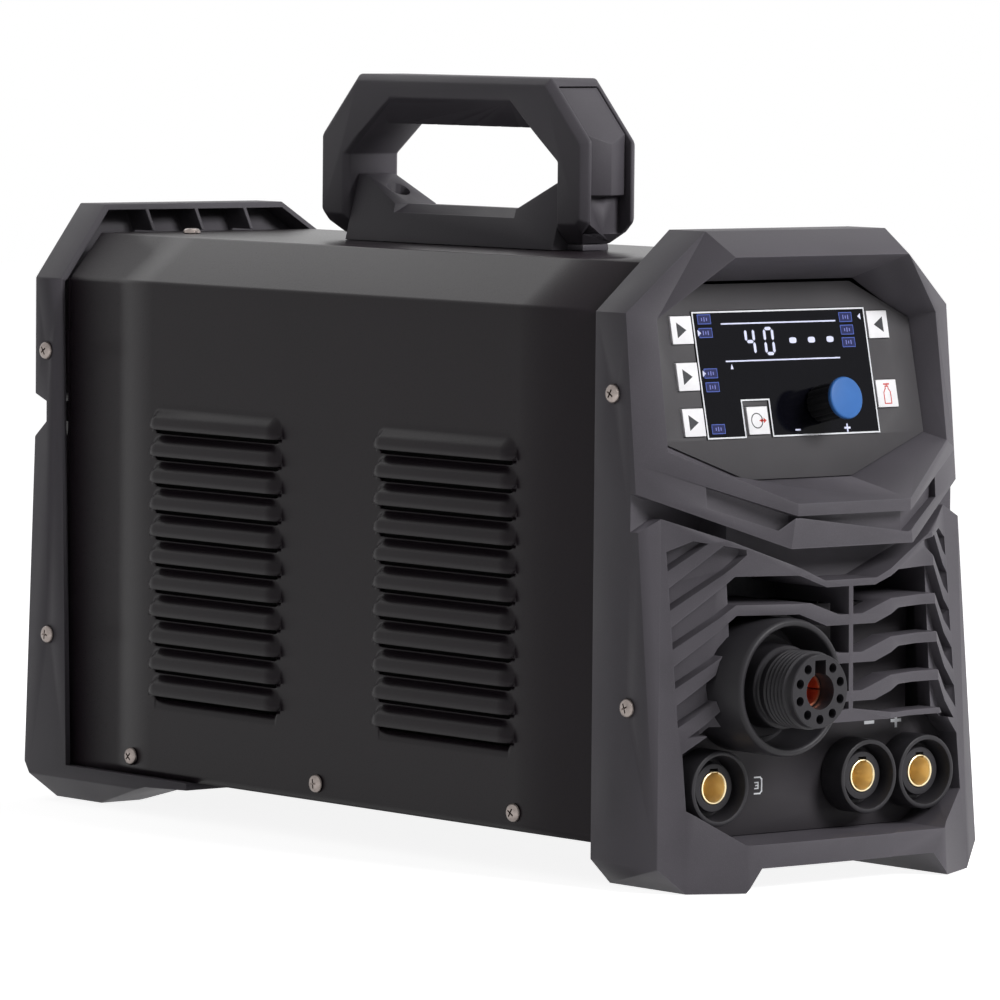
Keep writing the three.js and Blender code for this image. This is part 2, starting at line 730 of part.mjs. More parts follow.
function bayOutline(inset) {
  return mirrorX([
    [20, BAY_MIDDLE_TOP - inset],
    [BAY_HALF - 14, BAY_MIDDLE_TOP - inset],
    [BAY_HALF - inset, BAY_TOP - inset],
    [BAY_HALF - inset, BAY_SIDE_LOW + inset],
    [BAY_LOW_HALF - inset, BAY_LOW + inset],
  ]);
}

// moves every side of a convex outline inward by a distance
function insetOutline(points, distance) {
  const turn = THREE.ShapeUtils.area(points.map(([u, v]) => new THREE.Vector2(u, v))) > 0 ? 1 : -1;
  return points.map((here, i) => {
    const before = points[(i + points.length - 1) % points.length];
    const after = points[(i + 1) % points.length];
    const first = new THREE.Vector2(here[0] - before[0], here[1] - before[1]).normalize();
    const second = new THREE.Vector2(after[0] - here[0], after[1] - here[1]).normalize();
    const normalA = new THREE.Vector2(-first.y, first.x).multiplyScalar(turn);
    const normalB = new THREE.Vector2(-second.y, second.x).multiplyScalar(turn);
    const middle = normalA.clone().add(normalB).normalize();
    const reach = distance / middle.dot(normalA);
    return [here[0] + middle.x * reach, here[1] + middle.y * reach];
  });
}

const frameOctagon = (low) => octagon(
  FRAME_TOP_HALF, FRAME_TOP, FRAME_HALF_WIDTH, FRAME_SHOULDER, FRAME_WAIST, FRAME_HALF_WIDTH, low);

const caseOutline = (inset) => insetOutline([
  [-CASE_HALF_WIDTH, CASE_BOTTOM - inset],
  [CASE_HALF_WIDTH, CASE_BOTTOM - inset],
  [CASE_HALF_WIDTH, CASE_TOP - CHAMFER_DROP],
  [CASE_HALF_WIDTH - CHAMFER_IN, CASE_TOP],
  [-CASE_HALF_WIDTH + CHAMFER_IN, CASE_TOP],
  [-CASE_HALF_WIDTH, CASE_TOP - CHAMFER_DROP],
], inset);

// the flange that the side screws bite into, seen from the side
function frontFlange(margin) {
  const low = SIDE_SCREW_Z[0] - FLANGE_OVER - margin;
  const high = SIDE_SCREW_Z[1] + FLANGE_OVER + margin;
  return [
    [INNER_PLATE_Y + PLATE_THICK / 2 + margin, low],
    [INNER_PLATE_Y + PLATE_THICK / 2 + margin, high],
    [rakedY(high) + FLANGE_FRONT_GAP - margin, high],
    [rakedY(low) + FLANGE_FRONT_GAP - margin, low],
  ];
}

function frontFrame() {
  const shield = fromFront(shieldOutline(), FRAME_BACK, FRAME_BACK - REACH).intersect(
    shieldPrism(0, -OVER, SHIELD_TOP + OVER));
  const neck = block(
    -FRAME_HALF_WIDTH, FRAME_HALF_WIDTH, rakedY(BELT_SIDE_LOW) + NECK_SET, FRAME_BACK,
      SHIELD_SIDE_TOP - 50, HOOD_SIDE_LOW);
  const centreNeck = block(-58, 58, -245, FRAME_BACK, SHIELD_LOW_TOP - 20, HOOD_PROW_LOW);
  const outer = join([shield, neck, centreNeck, hoodBody(), beltBody()]);

  const inHalf = CASE_HALF_WIDTH + SEAT;
  const mouth = insetOutline(frameOctagon(CASE_BOTTOM - FRAME_WALL - GAP), FRAME_WALL - GAP * 2);
  const lip = fromFront(
    mouth.map(([x, z]) => [Math.sign(x) * Math.min(Math.abs(x), inHalf), z]), FRAME_BACK + OVER,
      FRAME_BACK - LIP_DEPTH);
  const sleeve = fromFront(insetOutline(caseOutline(0), -SEAT), FRAME_BACK + OVER, CASE_FRONT - GAP)
    .add(platePocket());
  const upper = (low) => octagon(
    FRAME_TOP_HALF - 4, FRAME_TOP - 6, 90, FRAME_SHOULDER - 6, low + 6, 70, low);
  const hoodHollow = loft([
    ringAt(upper(HOOD_PROW_LOW + 12), () => FRAME_BACK + OVER),
    ringAt(upper(HOOD_PROW_LOW + 12), () => fasciaY(FRAME_TOP) - 3),
    ringAt(fasciaOutline(6), (x, z) => fasciaY(z) + 3),
  ]);
  const lowHollow = fromFront(
    mirrorX([[HOLLOW_HALF, SHIELD_LOW_TOP - GRILLE_BAND], [HOLLOW_HALF, HOLLOW_LOW]]), FRAME_BACK + OVER,
      FRAME_BACK - REACH)
    .intersect(shieldPrism(GRILLE_DEPTH, HOLLOW_LOW - 1, SHIELD_LOW_TOP - GRILLE_BAND));
  const bay = fromFront(bayOutline(0), BAY_FLOOR_Y + PLATE_THICK + GAP, BAY_FLOOR_Y - REACH);
  const torchHole = rod('y', SHROUD_RADIUS + SEAT, BAY_FLOOR_Y + PLATE_THICK + GAP, BAY_FLOOR_Y - REACH,
    TORCH_X, TORCH_Z, 32);
  const displayHole = leanBlock(-DISPLAY_HALF - 14, DISPLAY_HALF + 14, -4, 16, DISPLAY_LOW + 1,
    DISPLAY_TOP + 1);
  const flangePockets = [1, -1].map((side) => fromSide(
    frontFlange(GAP), side > 0 ? FLANGE_INNER - GAP : -inHalf, side > 0 ? inHalf : -FLANGE_INNER + GAP));
  return cutAll(outer, [
    hoodHollow, lip, sleeve, lowHollow, bay, torchHole, displayHole, ...flangePockets,
      ...sideHoles(FRONT_SCREW_Y),
    ...grilleSlots()]);
}

// room for the inner plate in front of the case, on both sides of the control panel
function platePocket() {
  const outline = insetOutline(caseOutline(0), SHEET);
  const kept = plateWindow(PLATE_ARM_X - GAP, CASE_TOP + OVER, PLATE_WAIST + GAP);
  return fromFront(outline, CASE_FRONT, SLEEVE_END).subtract(kept);
}

function plateWindow(half, high, low) {
  return fromFront(mirrorX([[half, high], [half, low]]), FRAME_BACK, FRAME_BACK - REACH);
}

// clearance holes for the side screws, through the frame and the flange behind it
function sideHoles(places) {
  return SIDE_SCREW_Z.flatMap((z, i) => [1, -1].map((side) => rod(
    'x', SCREW_SHANK + SEAT, side * (FLANGE_INNER - 2), side * (FRAME_HALF_WIDTH + 1), places[i], z, 8)));
}

// a block whose front and back lie parallel to the fascia plane, y counted back from it
function leanBlock(x0, x1, yFront, yBack, z0, z1) {
  const corner = (z, back) => [fasciaY(z) + back, z];
  return fromSide([corner(z0, yFront), corner(z1, yFront), corner(z1, yBack), corner(z0, yBack)], x0, x1);
}

// an outline in x, z pressed into a plate that lies along the fascia plane
function leanPlate(points, yFront, yBack) {
  return loft([
    points.map(([x, z]) => [x, fasciaY(z) + yBack, z]),
    points.map(([x, z]) => [x, fasciaY(z) + yFront, z]),
  ]);
}

// a round body whose axis leans with the fascia, from yFront to yBack of its plane
function leanRod(radius, x, z, yFront, yBack, sides) {
  const body = rod('y', radius, yFront, yBack, 0, 0, sides);
  return body.rotate([-THREE.MathUtils.radToDeg(FASCIA_ANGLE), 0, 0]).translate([x, fasciaY(z), z]);
}

// =================================================== control panel and keys

function displayOutline(inset) {
  const [notchLeft, notchRight] = DISPLAY_NOTCH;
  return [
    [-DISPLAY_HALF + inset, DISPLAY_TOP - inset],
    [DISPLAY_HALF - inset, DISPLAY_TOP - inset],
    [DISPLAY_HALF - inset, DISPLAY_LOW + inset],
    [notchRight + inset, DISPLAY_LOW + inset],
    [notchRight + inset, DISPLAY_NOTCH_TOP + inset],
    [notchLeft - inset, DISPLAY_NOTCH_TOP + inset],
    [notchLeft - inset, DISPLAY_LOW + inset],
    [-DISPLAY_HALF + inset, DISPLAY_LOW + inset],
  ];
}

function buttonCutter(x, z, grow, yFront, yBack) {
  const half = BUTTON_SIZE / 2 + grow;
  return leanBlock(x - half, x + half, yFront, yBack, z - half, z + half);
}

function controlPanel() {
  const plate = leanPlate(fasciaOutline(SEAT), -FASCIA_THICK - GAP, -GAP);
  const windowCut = leanPlate(displayOutline(-GAP), -FASCIA_THICK - 5, -GAP - 0.8);
  const shaftHole = leanRod(ENCODER_BUSH + SEAT, KNOB_X, KNOB_Z, -6, 4, 20);
  const keyHoles = BUTTON_PLACES.map(([, x, z]) => buttonCutter(x, z, GAP, -6, 4));
  return cutAll(plate, [windowCut, shaftHole, ...keyHoles]);
}

function displayWindow() {
  const pane = leanPlate(displayOutline(0), -FASCIA_THICK - GAP - DISPLAY_PROUD, -2 * GAP - 0.8);
  return pane.subtract(leanRod(ENCODER_BUSH + SEAT, KNOB_X, KNOB_Z, -6, 4, 20));
}

function pushButton(x, z) {
  const front = -FASCIA_THICK - GAP - BUTTON_PROUD;
  const cap = buttonCutter(x, z, 0, front, -GAP);
  const stem = leanBlock(x - 2, x + 2, -GAP - 0.2, BOARD_BACK - SWITCH_TALL - BUTTON_TRAVEL - GAP, z - 2,
    z + 2);
  return cap.add(stem);
}

function displayBoard() {
  const board = leanBlock(
    -DISPLAY_HALF - 13, DISPLAY_HALF + 13, BOARD_BACK, BOARD_BACK + BOARD_THICK, DISPLAY_LOW + 2,
      DISPLAY_TOP);
  const keySwitches = BUTTON_PLACES.map(([, x, z]) => leanBlock(
    x - 3, x + 3, BOARD_BACK - SWITCH_TALL, BOARD_BACK + 0.2, z - 3, z + 3));
  const glassBlock = leanBlock(-40, 40, BOARD_BACK - 5, BOARD_BACK + 0.2, 232, 260);
  return join([board, glassBlock, ...keySwitches]);
}

function encoder() {
  const body = leanBlock(KNOB_X - 6.5, KNOB_X + 6.5, BOARD_BACK - 6, BOARD_BACK - GAP, KNOB_Z - 6.5,
    KNOB_Z + 6.5);
  const bush = leanRod(ENCODER_BUSH, KNOB_X, KNOB_Z, -3, BOARD_BACK - 5.8, 20);
  const shaft = leanRod(ENCODER_SHAFT, KNOB_X, KNOB_Z, -KNOB_LENGTH + 3, -2.8, 20);
  return join([body, bush, shaft]);
}

const KNOB_BACK = -FASCIA_THICK - GAP - DISPLAY_PROUD - 1;
const KNOB_FRONT = KNOB_BACK - KNOB_LENGTH;

function knobBody() {
  const body = leanRod(KNOB_RADIUS, KNOB_X, KNOB_Z, KNOB_FRONT, KNOB_BACK, KNOB_FLUTES * 2);
  const flutes = [];
  for (let i = 0; i < KNOB_FLUTES; i += 1) {
    const angle = (2 * Math.PI * i) / KNOB_FLUTES;
    const groove = rod('y', KNOB_FLUTE, -KNOB_LENGTH - 6, -3.4, KNOB_RADIUS * Math.cos(angle),
      KNOB_RADIUS * Math.sin(angle), 4);
    flutes.push(groove.rotate([-THREE.MathUtils.radToDeg(FASCIA_ANGLE), 0, 0])
      .translate([KNOB_X, fasciaY(KNOB_Z), KNOB_Z]));
  }
  const bore = leanRod(ENCODER_SHAFT + GAP, KNOB_X, KNOB_Z, -KNOB_LENGTH + 2.4, 2, 20);
  return cutAll(body, [bore, ...flutes]);
}

function knobCap() {
  const disc = leanRod(CAP_RADIUS, KNOB_X, KNOB_Z, KNOB_FRONT - GAP - CAP_LENGTH + 0.8, KNOB_FRONT - GAP, 24);
  const face = leanRod(CAP_RADIUS - 0.9, KNOB_X, KNOB_Z, KNOB_FRONT - GAP - CAP_LENGTH,
    KNOB_FRONT - GAP - 1, 24);
  return disc.add(face);
}

// ============================================================ connector bay

function connectorPanel() {
  const inBay = fromFront(bayOutline(GAP), BAY_FLOOR_Y + PLATE_THICK, BAY_FLOOR_Y);
  const behindGrille = block(
    -STATION_KNEE - 2, STATION_KNEE + 2, BAY_FLOOR_Y, BAY_FLOOR_Y + PLATE_THICK, BAY_TOP,
      SHIELD_LOW_TOP - GRILLE_BAND - 2);
  const bores = SOCKET_X.map((x) => rod('y', SOCKET_STEM + SEAT, BAY_FLOOR_Y - 5, BAY_FLOOR_Y + 9, x,
    SOCKET_Z, 14));
  const torchBore = rod('y', TORCH_STEM + SEAT, BAY_FLOOR_Y - 5, BAY_FLOOR_Y + 9, TORCH_X, TORCH_Z, 24);
  return cutAll(inBay.add(behindGrille), [...bores, torchBore]);
}

function torchShroud() {
  const back = BAY_FLOOR_Y - GAP;
  return turnedY([
    [TORCH_STEM + SEAT, back],
    [SHROUD_RADIUS, back],
    [SHROUD_RADIUS, SHROUD_FRONT + 1],
    [SHROUD_RADIUS - 1, SHROUD_FRONT],
    [SHROUD_BORE + 0.6, SHROUD_FRONT],
    [SHROUD_BORE, SHROUD_FRONT + 0.8],
    [SHROUD_BORE, TORCH_FLOOR_Y],
    [TORCH_STEM + SEAT, TORCH_FLOOR_Y],
    [TORCH_STEM + SEAT, back],
  ], TORCH_X, TORCH_Z, 30);
}

function torchConnector() {
  const profile = [
    [0, TORCH_BACK],
    [TORCH_STEM, TORCH_BACK],
    [TORCH_STEM, TORCH_FLOOR_Y - GAP],
    [TORCH_FLANGE_RADIUS, TORCH_FLOOR_Y - GAP],
    [TORCH_FLANGE_RADIUS, TORCH_FLANGE_FRONT],
    [TORCH_BODY_RADIUS + TORCH_THREAD_DEPTH, TORCH_FLANGE_FRONT],
  ];
  for (let i = 0; i < TORCH_THREADS; i += 1) {
    const y = TORCH_BODY_FRONT + TORCH_COLLAR + (TORCH_THREADS - i) * TORCH_THREAD_PITCH;
    profile.push([TORCH_BODY_RADIUS + TORCH_THREAD_DEPTH, y]);
    profile.push([TORCH_BODY_RADIUS, y - TORCH_THREAD_PITCH / 2]);
  }
  profile.push([TORCH_BODY_RADIUS + TORCH_THREAD_DEPTH, TORCH_BODY_FRONT + TORCH_COLLAR]);
  profile.push([TORCH_BODY_RADIUS, TORCH_BODY_FRONT + TORCH_COLLAR - 1]);
  profile.push([TORCH_BODY_RADIUS, TORCH_BODY_FRONT]);
  profile.push([0, TORCH_BODY_FRONT]);
  const body = turnedY(profile, TORCH_X, TORCH_Z, 22);
  const bore = rod('y', TORCH_BORE, TORCH_BODY_FRONT - 1, TORCH_BODY_FRONT + CONTACT_LENGTH + 6, TORCH_X,
    TORCH_Z, 24);
  const key = block(
    TORCH_X - TORCH_KEY_WIDTH / 2, TORCH_X + TORCH_KEY_WIDTH / 2, TORCH_BODY_FRONT - 1,
      TORCH_BODY_FRONT + CONTACT_LENGTH,
    TORCH_Z, TORCH_Z + TORCH_KEY_TOP);
  const pins = [];
  for (let i = 1; i < TORCH_PIN_PLACES; i += 1) {
    const angle = (2 * Math.PI * i) / TORCH_PIN_PLACES;
    pins.push(rod('y', TORCH_PIN_HOLE, TORCH_BODY_FRONT - 1, TORCH_BODY_FRONT + 14,
      TORCH_X + TORCH_PIN_CIRCLE * Math.sin(angle), TORCH_Z + TORCH_PIN_CIRCLE * Math.cos(angle), 6));
  }
  return cutAll(body, [bore, key, ...pins]);
}

function torchContact() {
  const outer = TORCH_BORE - GAP;
  const inner = outer - CONTACT_WALL;
  const front = TORCH_BODY_FRONT + 5;
  const back = TORCH_BODY_FRONT + CONTACT_LENGTH + 5.4;
  const sleeve = turnedY([
    [inner, front], [outer, front], [outer, back], [0, back], [0, back - 3], [inner, back - 3], [inner,
      front],
  ], TORCH_X, TORCH_Z, 16);
  const half = CONTACT_SPLIT / 2;
  return sleeve
    .subtract(block(TORCH_X - 20, TORCH_X + 20, front - 1, back - 8, TORCH_Z - half, TORCH_Z + half))
    .subtract(block(TORCH_X - half, TORCH_X + half, front - 1, back - 8, TORCH_Z - 20, TORCH_Z + 20));
}

function socketBody(x) {
  const core = SOCKET_FRONT + SOCKET_CORE_BACK;
  const floor = SOCKET_FRONT + 12;
  const back = BAY_FLOOR_Y - GAP;
  const turned = turnedY([
    [0, SOCKET_STUD_BACK - 4], [SOCKET_STEM, SOCKET_STUD_BACK - 4], [SOCKET_STEM, back],
    [SOCKET_RADIUS, back], [SOCKET_RADIUS, SOCKET_FRONT], [SOCKET_CUP, SOCKET_FRONT],
    [SOCKET_CUP, floor], [SOCKET_CORE, floor], [SOCKET_CORE, core], [0, core],
  ], x, SOCKET_Z, SOCKET_SIDES);
  const bore = rod('y', SOCKET_BRASS_RADIUS + GAP, core - 1, SOCKET_STUD_BACK - 3, x, SOCKET_Z, 14);
  const key = block(
    x - SOCKET_KEY_WIDTH / 2 - GAP, x + SOCKET_KEY_WIDTH / 2 + GAP, core - 1, floor, SOCKET_Z,
      SOCKET_Z + SOCKET_KEY_RADIUS + GAP);
  return cutAll(turned, [bore, key]);
}

function socketContact(x) {
  const front = SOCKET_FRONT + SOCKET_BRASS_BACK;
  const back = SOCKET_STUD_BACK;
  const tube = turnedY([
    [SOCKET_BORE_RADIUS, front], [SOCKET_BRASS_RADIUS, front], [SOCKET_BRASS_RADIUS, back],
    [0, back], [0, front + 26], [SOCKET_BORE_RADIUS, front + 26], [SOCKET_BORE_RADIUS, front],
  ], x, SOCKET_Z, 14);
  const key = block(
    x - SOCKET_KEY_WIDTH / 2, x + SOCKET_KEY_WIDTH / 2, front - 1, front + 14, SOCKET_Z,
      SOCKET_Z + SOCKET_KEY_RADIUS + 1);
  return tube.subtract(key);
}

function innerPlate() {
  const outline = insetOutline(caseOutline(0), SHEET + GAP);
  const front = INNER_PLATE_Y - PLATE_THICK / 2;
  const plate = fromFront(outline, front + PLATE_THICK, front);
  const flanges = [1, -1].map((side) => fromSide(
    frontFlange(0), side > 0 ? FLANGE_INNER : -FLANGE_OUTER, side > 0 ? FLANGE_OUTER : -FLANGE_INNER));
  const windows = [
    plateWindow(HOLLOW_HALF, SHIELD_LOW_TOP - GRILLE_BAND, HOLLOW_LOW + 4),
    plateWindow(PLATE_ARM_X, CASE_TOP + OVER, PLATE_WAIST),
  ];
  return cutAll(join([plate, ...flanges]), [...windows, ...sideHoles(FRONT_SCREW_Y)]);
}

// ================================================================ the case

// one pressed louvre hood, open along its lower edge, on the side face at x = CASE_HALF_WIDTH
function louvreHood(yCentre, low) {
  const root = CASE_HALF_WIDTH - SHEET / 2;
  const half = LOUVRE_LENGTH / 2;
  const ringOf = ([dy, bulge, height]) => [
    [root, yCentre + dy, low + height],
    [root + bulge, yCentre + dy, low],
    [root + bulge - SHEET, yCentre + dy, low],
    [root, yCentre + dy, low + height * LOUVRE_INNER],
  ];
  const end = [half, SHEET + 0.1, LOUVRE_HEIGHT * 0.55];
  const full = [half - LOUVRE_END, LOUVRE_BULGE + SHEET / 2, LOUVRE_HEIGHT];
  return loft([
    ringOf([-end[0], end[1], end[2]]),
    ringOf([-full[0], full[1], full[2]]),
    ringOf(full),
    ringOf(end),
  ]);
}

function louvreSlot(yCentre, low) {
  const half = LOUVRE_LENGTH / 2 - LOUVRE_END;
  return block(
    CASE_HALF_WIDTH - SHEET - 1, CASE_HALF_WIDTH + 0.3, yCentre - half, yCentre + half, low + 0.4,
      low + LOUVRE_HEIGHT * 0.5);
}

function caseCover() {
  const outer = caseOutline(0);
  const inner = insetOutline(caseOutline(0), SHEET)
    .map(([x, z]) => [x, z < CASE_BOTTOM + 5 ? CASE_BOTTOM - 5 : z]);
  const end = CASE_REAR + COVER_TOP_SET;
  let cover = fromFront(outer, end, CASE_FRONT)
    .subtract(fromFront(inner, end + OVER, CASE_FRONT - OVER))
    .subtract(fromSide([
      [CASE_REAR, CASE_BOTTOM - OVER], [end + OVER, CASE_BOTTOM - OVER], [end + OVER, CASE_TOP + OVER],
      [end, CASE_TOP + OVER], [end, CASE_TOP], [CASE_REAR, CASE_TOP - CHAMFER_DROP],
    ], -FRAME_HALF_WIDTH, FRAME_HALF_WIDTH));
  const slots = [];
  const hoods = [];
  for (const yCentre of LOUVRE_GROUP_CENTRES) {
    for (let i = 0; i < LOUVRES_IN_GROUP; i += 1) {
      const low = LOUVRE_LOWEST + i * LOUVRE_PITCH;
      slots.push(louvreSlot(yCentre, low));
      hoods.push(louvreHood(yCentre, low));
    }
  }
  const both = (solids) => solids.flatMap((solid) => [solid, solid.mirror([1, 0, 0])]);
  cover = cutAll(cover, [...both(slots), ...skirtHoles(), topScrewHole()]);
  return join([cover, ...both(hoods)]);
}

function skirtHoles() {
  return SKIRT_SCREW_Y.flatMap((y) => [1, -1].map((side) => rod(
    'x', SCREW_SHANK + SEAT, side * (CASE_HALF_WIDTH - 6), side * (CASE_HALF_WIDTH + 1), y, SKIRT_SCREW_Z,
      8)));
}

function topScrewHole() {
  return rod('z', SCREW_SHANK + SEAT, CASE_TOP - 8, CASE_TOP + 1, TOP_SCREW_X, TOP_SCREW_Y, 8);
}

const TRAY_OUTER = CASE_HALF_WIDTH - SHEET - GAP;

function baseTray() {
  const section = [
    [-TRAY_OUTER, CASE_BOTTOM],
    [TRAY_OUTER, CASE_BOTTOM],
    [TRAY_OUTER, CASE_BOTTOM + TRAY_LIP_HEIGHT],
    [TRAY_OUTER - SHEET, CASE_BOTTOM + TRAY_LIP_HEIGHT],
    [TRAY_OUTER - SHEET, CASE_BOTTOM + SHEET],
    [-TRAY_OUTER + SHEET, CASE_BOTTOM + SHEET],
    [-TRAY_OUTER + SHEET, CASE_BOTTOM + TRAY_LIP_HEIGHT],
    [-TRAY_OUTER, CASE_BOTTOM + TRAY_LIP_HEIGHT],
  ];
  const tray = fromFront(section, CASE_REAR - GAP, CASE_FRONT);
  return cutAll(tray, skirtHoles());
}

function chassisShelf() {
  const half = TRAY_OUTER - SHEET - 8;
  const front = SHELF_FRONT;
  const back = SHELF_BACK;
  const floor = CASE_BOTTOM + SHEET + GAP;
  const profile = [
    [front, floor], [front + SHEET * 2, floor], [front + SHEET * 2, SHELF_Z - SHEET * 2],
    [back - SHEET * 2, SHELF_Z - SHEET * 2], [back - SHEET * 2, floor], [back, floor],
    [back, SHELF_Z], [front, SHELF_Z],
  ];
  const shelf = fromSide(profile, -half, half);
  const legWindow = (y) => block(-half + 14, half - 14, y - 6, y + 6, floor + 14, SHELF_Z - 16);
  const posts = POST_PLACES.map(([x, y]) => rod('z', 3.2, SHELF_Z - 0.3, BOARD_Z - GAP, x, y, 8));
  return cutAll(join([shelf, ...posts]), [legWindow(front), legWindow(back)]);
}

function powerBoard() {
  const board = block(-76, 76, BOARD_FRONT, BOARD_FRONT + BOARD_LENGTH, BOARD_Z, BOARD_Z + 2);
  const capacitors = [-52, -20].map((x) => rod('z', 14, BOARD_Z + 1.8, BOARD_Z + 52, x, BOARD_FRONT + 34,
    20));
  const relay = block(12, 42, BOARD_FRONT + 18, BOARD_FRONT + 46, BOARD_Z + 1.8, BOARD_Z + 30);
  return join([board, ...capacitors, relay]);
}

// a finned extrusion standing on the board, fins upward
function heatSink() {
  const points = [];
  const base = BOARD_Z + 2 + GAP;
  const left = -SINK_HALF;
  points.push([left, base], [SINK_HALF, base]);
  const pitch = (2 * SINK_HALF - SINK_FIN) / (SINK_FINS - 1);
  for (let i = SINK_FINS - 1; i >= 0; i -= 1) {
    const x = left + i * pitch;
    points.push([x + SINK_FIN, SINK_TOP], [x, SINK_TOP]);
    if (i > 0) points.push([x, base + SINK_BASE], [x - pitch + SINK_FIN, base + SINK_BASE]);
  }
  return fromFront(points, SINK_FRONT + SINK_LENGTH, SINK_FRONT);
}

function transformer() {
  const floor = CASE_BOTTOM + SHEET + GAP;
  const [x, y] = TRANSFORMER_PLACE;
  const core = block(x - 33, x + 33, y - 22, y + 22, floor, floor + 62);
  const winding = fromAbove(
    mirrorX([[24, 34], [30, 26], [30, -26], [24, -34]])
      .map(([u, v]) => [u + x, v + y]), floor + 13, floor + 49);
  return core.add(winding);
}

function compressorMotor() {
  const barrel = rod('y', MOTOR_RADIUS, MOTOR_FRONT, MOTOR_BACK, COMPRESSOR_X, COMPRESSOR_Z, 24);
  const boss = rod('y', 14, MOTOR_FRONT - 8, MOTOR_FRONT + 1, COMPRESSOR_X, COMPRESSOR_Z, 12);
  const floor = CASE_BOTTOM + SHEET + GAP;
  const cradle = (y) => block(
    COMPRESSOR_X - 26, COMPRESSOR_X + 26, y, y + 8, floor, COMPRESSOR_Z - MOTOR_RADIUS + 8);
  return join([barrel, boss, cradle(MOTOR_FRONT + 12), cradle(MOTOR_BACK - 20)]);
}

function compressorHead() {
  const front = MOTOR_FRONT - 8 - GAP - HEAD_LENGTH;
  const crankcase = block(
    COMPRESSOR_X - 30, COMPRESSOR_X + 30, front, front + HEAD_LENGTH, CASE_BOTTOM + SHEET + GAP,
      COMPRESSOR_Z + 10);
  const cylinder = rod('z', 20, COMPRESSOR_Z + 9, COMPRESSOR_Z + 50, COMPRESSOR_X, front + HEAD_LENGTH / 2,
    12);
  const fins = [0, 1, 2].map((i) => block(
    COMPRESSOR_X - 26, COMPRESSOR_X + 26, front + 3, front + HEAD_LENGTH - 3,
    COMPRESSOR_Z + 18 + i * 10, COMPRESSOR_Z + 21 + i * 10));
  return join([crankcase, cylinder, ...fins]);
}

// ============================================================== rear of case

const rearFeet = () => mirrorX([
  [FOOT_OUTER, 0],
  [FOOT_INNER, 0],
  [ARCH_HALF, ARCH_HEIGHT],
]);

// the collar seen from the side: a leaning lip in front, a broken line behind with a notch
function rearProfile(grow, frontCut) {
  const [notchFoot, notchLow, notchHigh, notchTop] = REAR_NOTCH;
  const lean = REAR_TOP_SET;
  const front = frontCut === undefined
    ? [[REAR_LIP_TOP + lean, REAR_TOP + 1], [REAR_LIP_TOP + lean, REAR_TOP], [REAR_LIP_TOP, REAR_SHOULDER],
      [REAR_LIP_LOW, CASE_BOTTOM + 1]]
    : [[frontCut, REAR_TOP + 1], [frontCut, -1]];
  const sled = frontCut === undefined
    ? [[REAR_LIP_LOW, CASE_BOTTOM - GAP], [REAR_SLED_FRONT, CASE_BOTTOM - GAP], [REAR_SLED_FRONT,
      SLED_NOSE_LOW],
      [SLED_NOSE_Y, SLED_NOSE_LOW - 1.5], [SLED_FLAT_Y, 0], [REAR_FACE_LOW - 12, 0]]
    : [[REAR_FACE_LOW - 12 - grow, 0]];
  const rear = [
    [REAR_FACE_LOW - grow, REAR_HEEL], [REAR_FACE_TOP + 0.3 - grow, notchFoot],
    [REAR_FACE_TOP - REAR_NOTCH_DEPTH - grow, notchLow], [REAR_FACE_TOP - REAR_NOTCH_DEPTH - grow, notchHigh],
    [REAR_FACE_TOP - grow, notchTop], [REAR_FACE_TOP - grow, REAR_SHOULDER],
    [REAR_FACE_TOP + lean - grow, REAR_TOP],
    [REAR_FACE_TOP + lean - grow, REAR_TOP + 1],
  ];
  return [...front, ...sled, ...rear];
}

const REAR_OUTLINE = [
  [REAR_TOP_HALF, REAR_TOP],
  [FRAME_HALF_WIDTH, REAR_SHOULDER],
  [FRAME_HALF_WIDTH, FOOT_CHAMFER],
];

function rearFrame() {
  const outline = [
    ...REAR_OUTLINE, ...rearFeet(), ...REAR_OUTLINE.map(([x, z]) => [-x, z]).reverse(),
  ];
  const shell = fromFront(outline, REAR_FACE_LOW + 20, REAR_SLED_FRONT - 5)
    .intersect(fromSide(rearProfile(0), -FRAME_HALF_WIDTH - 1, FRAME_HALF_WIDTH + 1));
  const insideOutline = insetOutline(mirrorX([...REAR_OUTLINE, [FRAME_HALF_WIDTH, 0]]), REAR_WALL)
    .map(([x, z]) => [x, z < 30 ? CASE_BOTTOM - GAP : z]);
  const inside = fromFront(insideOutline, REAR_FACE_LOW + 20, REAR_LIP_LOW - 110)
    .intersect(fromSide(rearProfile(REAR_WALL + 1, REAR_LIP_LOW - 110), -FRAME_HALF_WIDTH, FRAME_HALF_WIDTH));
  const window = fromFront(octagon(
    REAR_OPENING_HALF - 22, REAR_OPENING_TOP, REAR_OPENING_HALF, REAR_OPENING_TOP - 20,
    REAR_OPENING_LOW + 14, REAR_OPENING_HALF - 14, REAR_OPENING_LOW), REAR_FACE_LOW + 20, REAR_LIP_LOW);
  const ribs = REAR_RIBS.map((x) => block(
    x - 1, x + 1, REAR_LIP_TOP, REAR_FACE_TOP + REAR_TOP_SET - 2, CASE_TOP + GAP, REAR_TOP - 1)
    .intersect(fromSide(rearProfile(0), x - OVER, x + OVER)));
  const betweenSleds = block(
    -SLED_INNER, SLED_INNER, REAR_SLED_FRONT - OVER, REAR_LIP_LOW + GAP, -1, CASE_BOTTOM + GAP);
  return cutAll(join([shell.subtract(inside), ...ribs]), [window, betweenSleds, ...sideHoles(REAR_SCREW_Y)]);
}

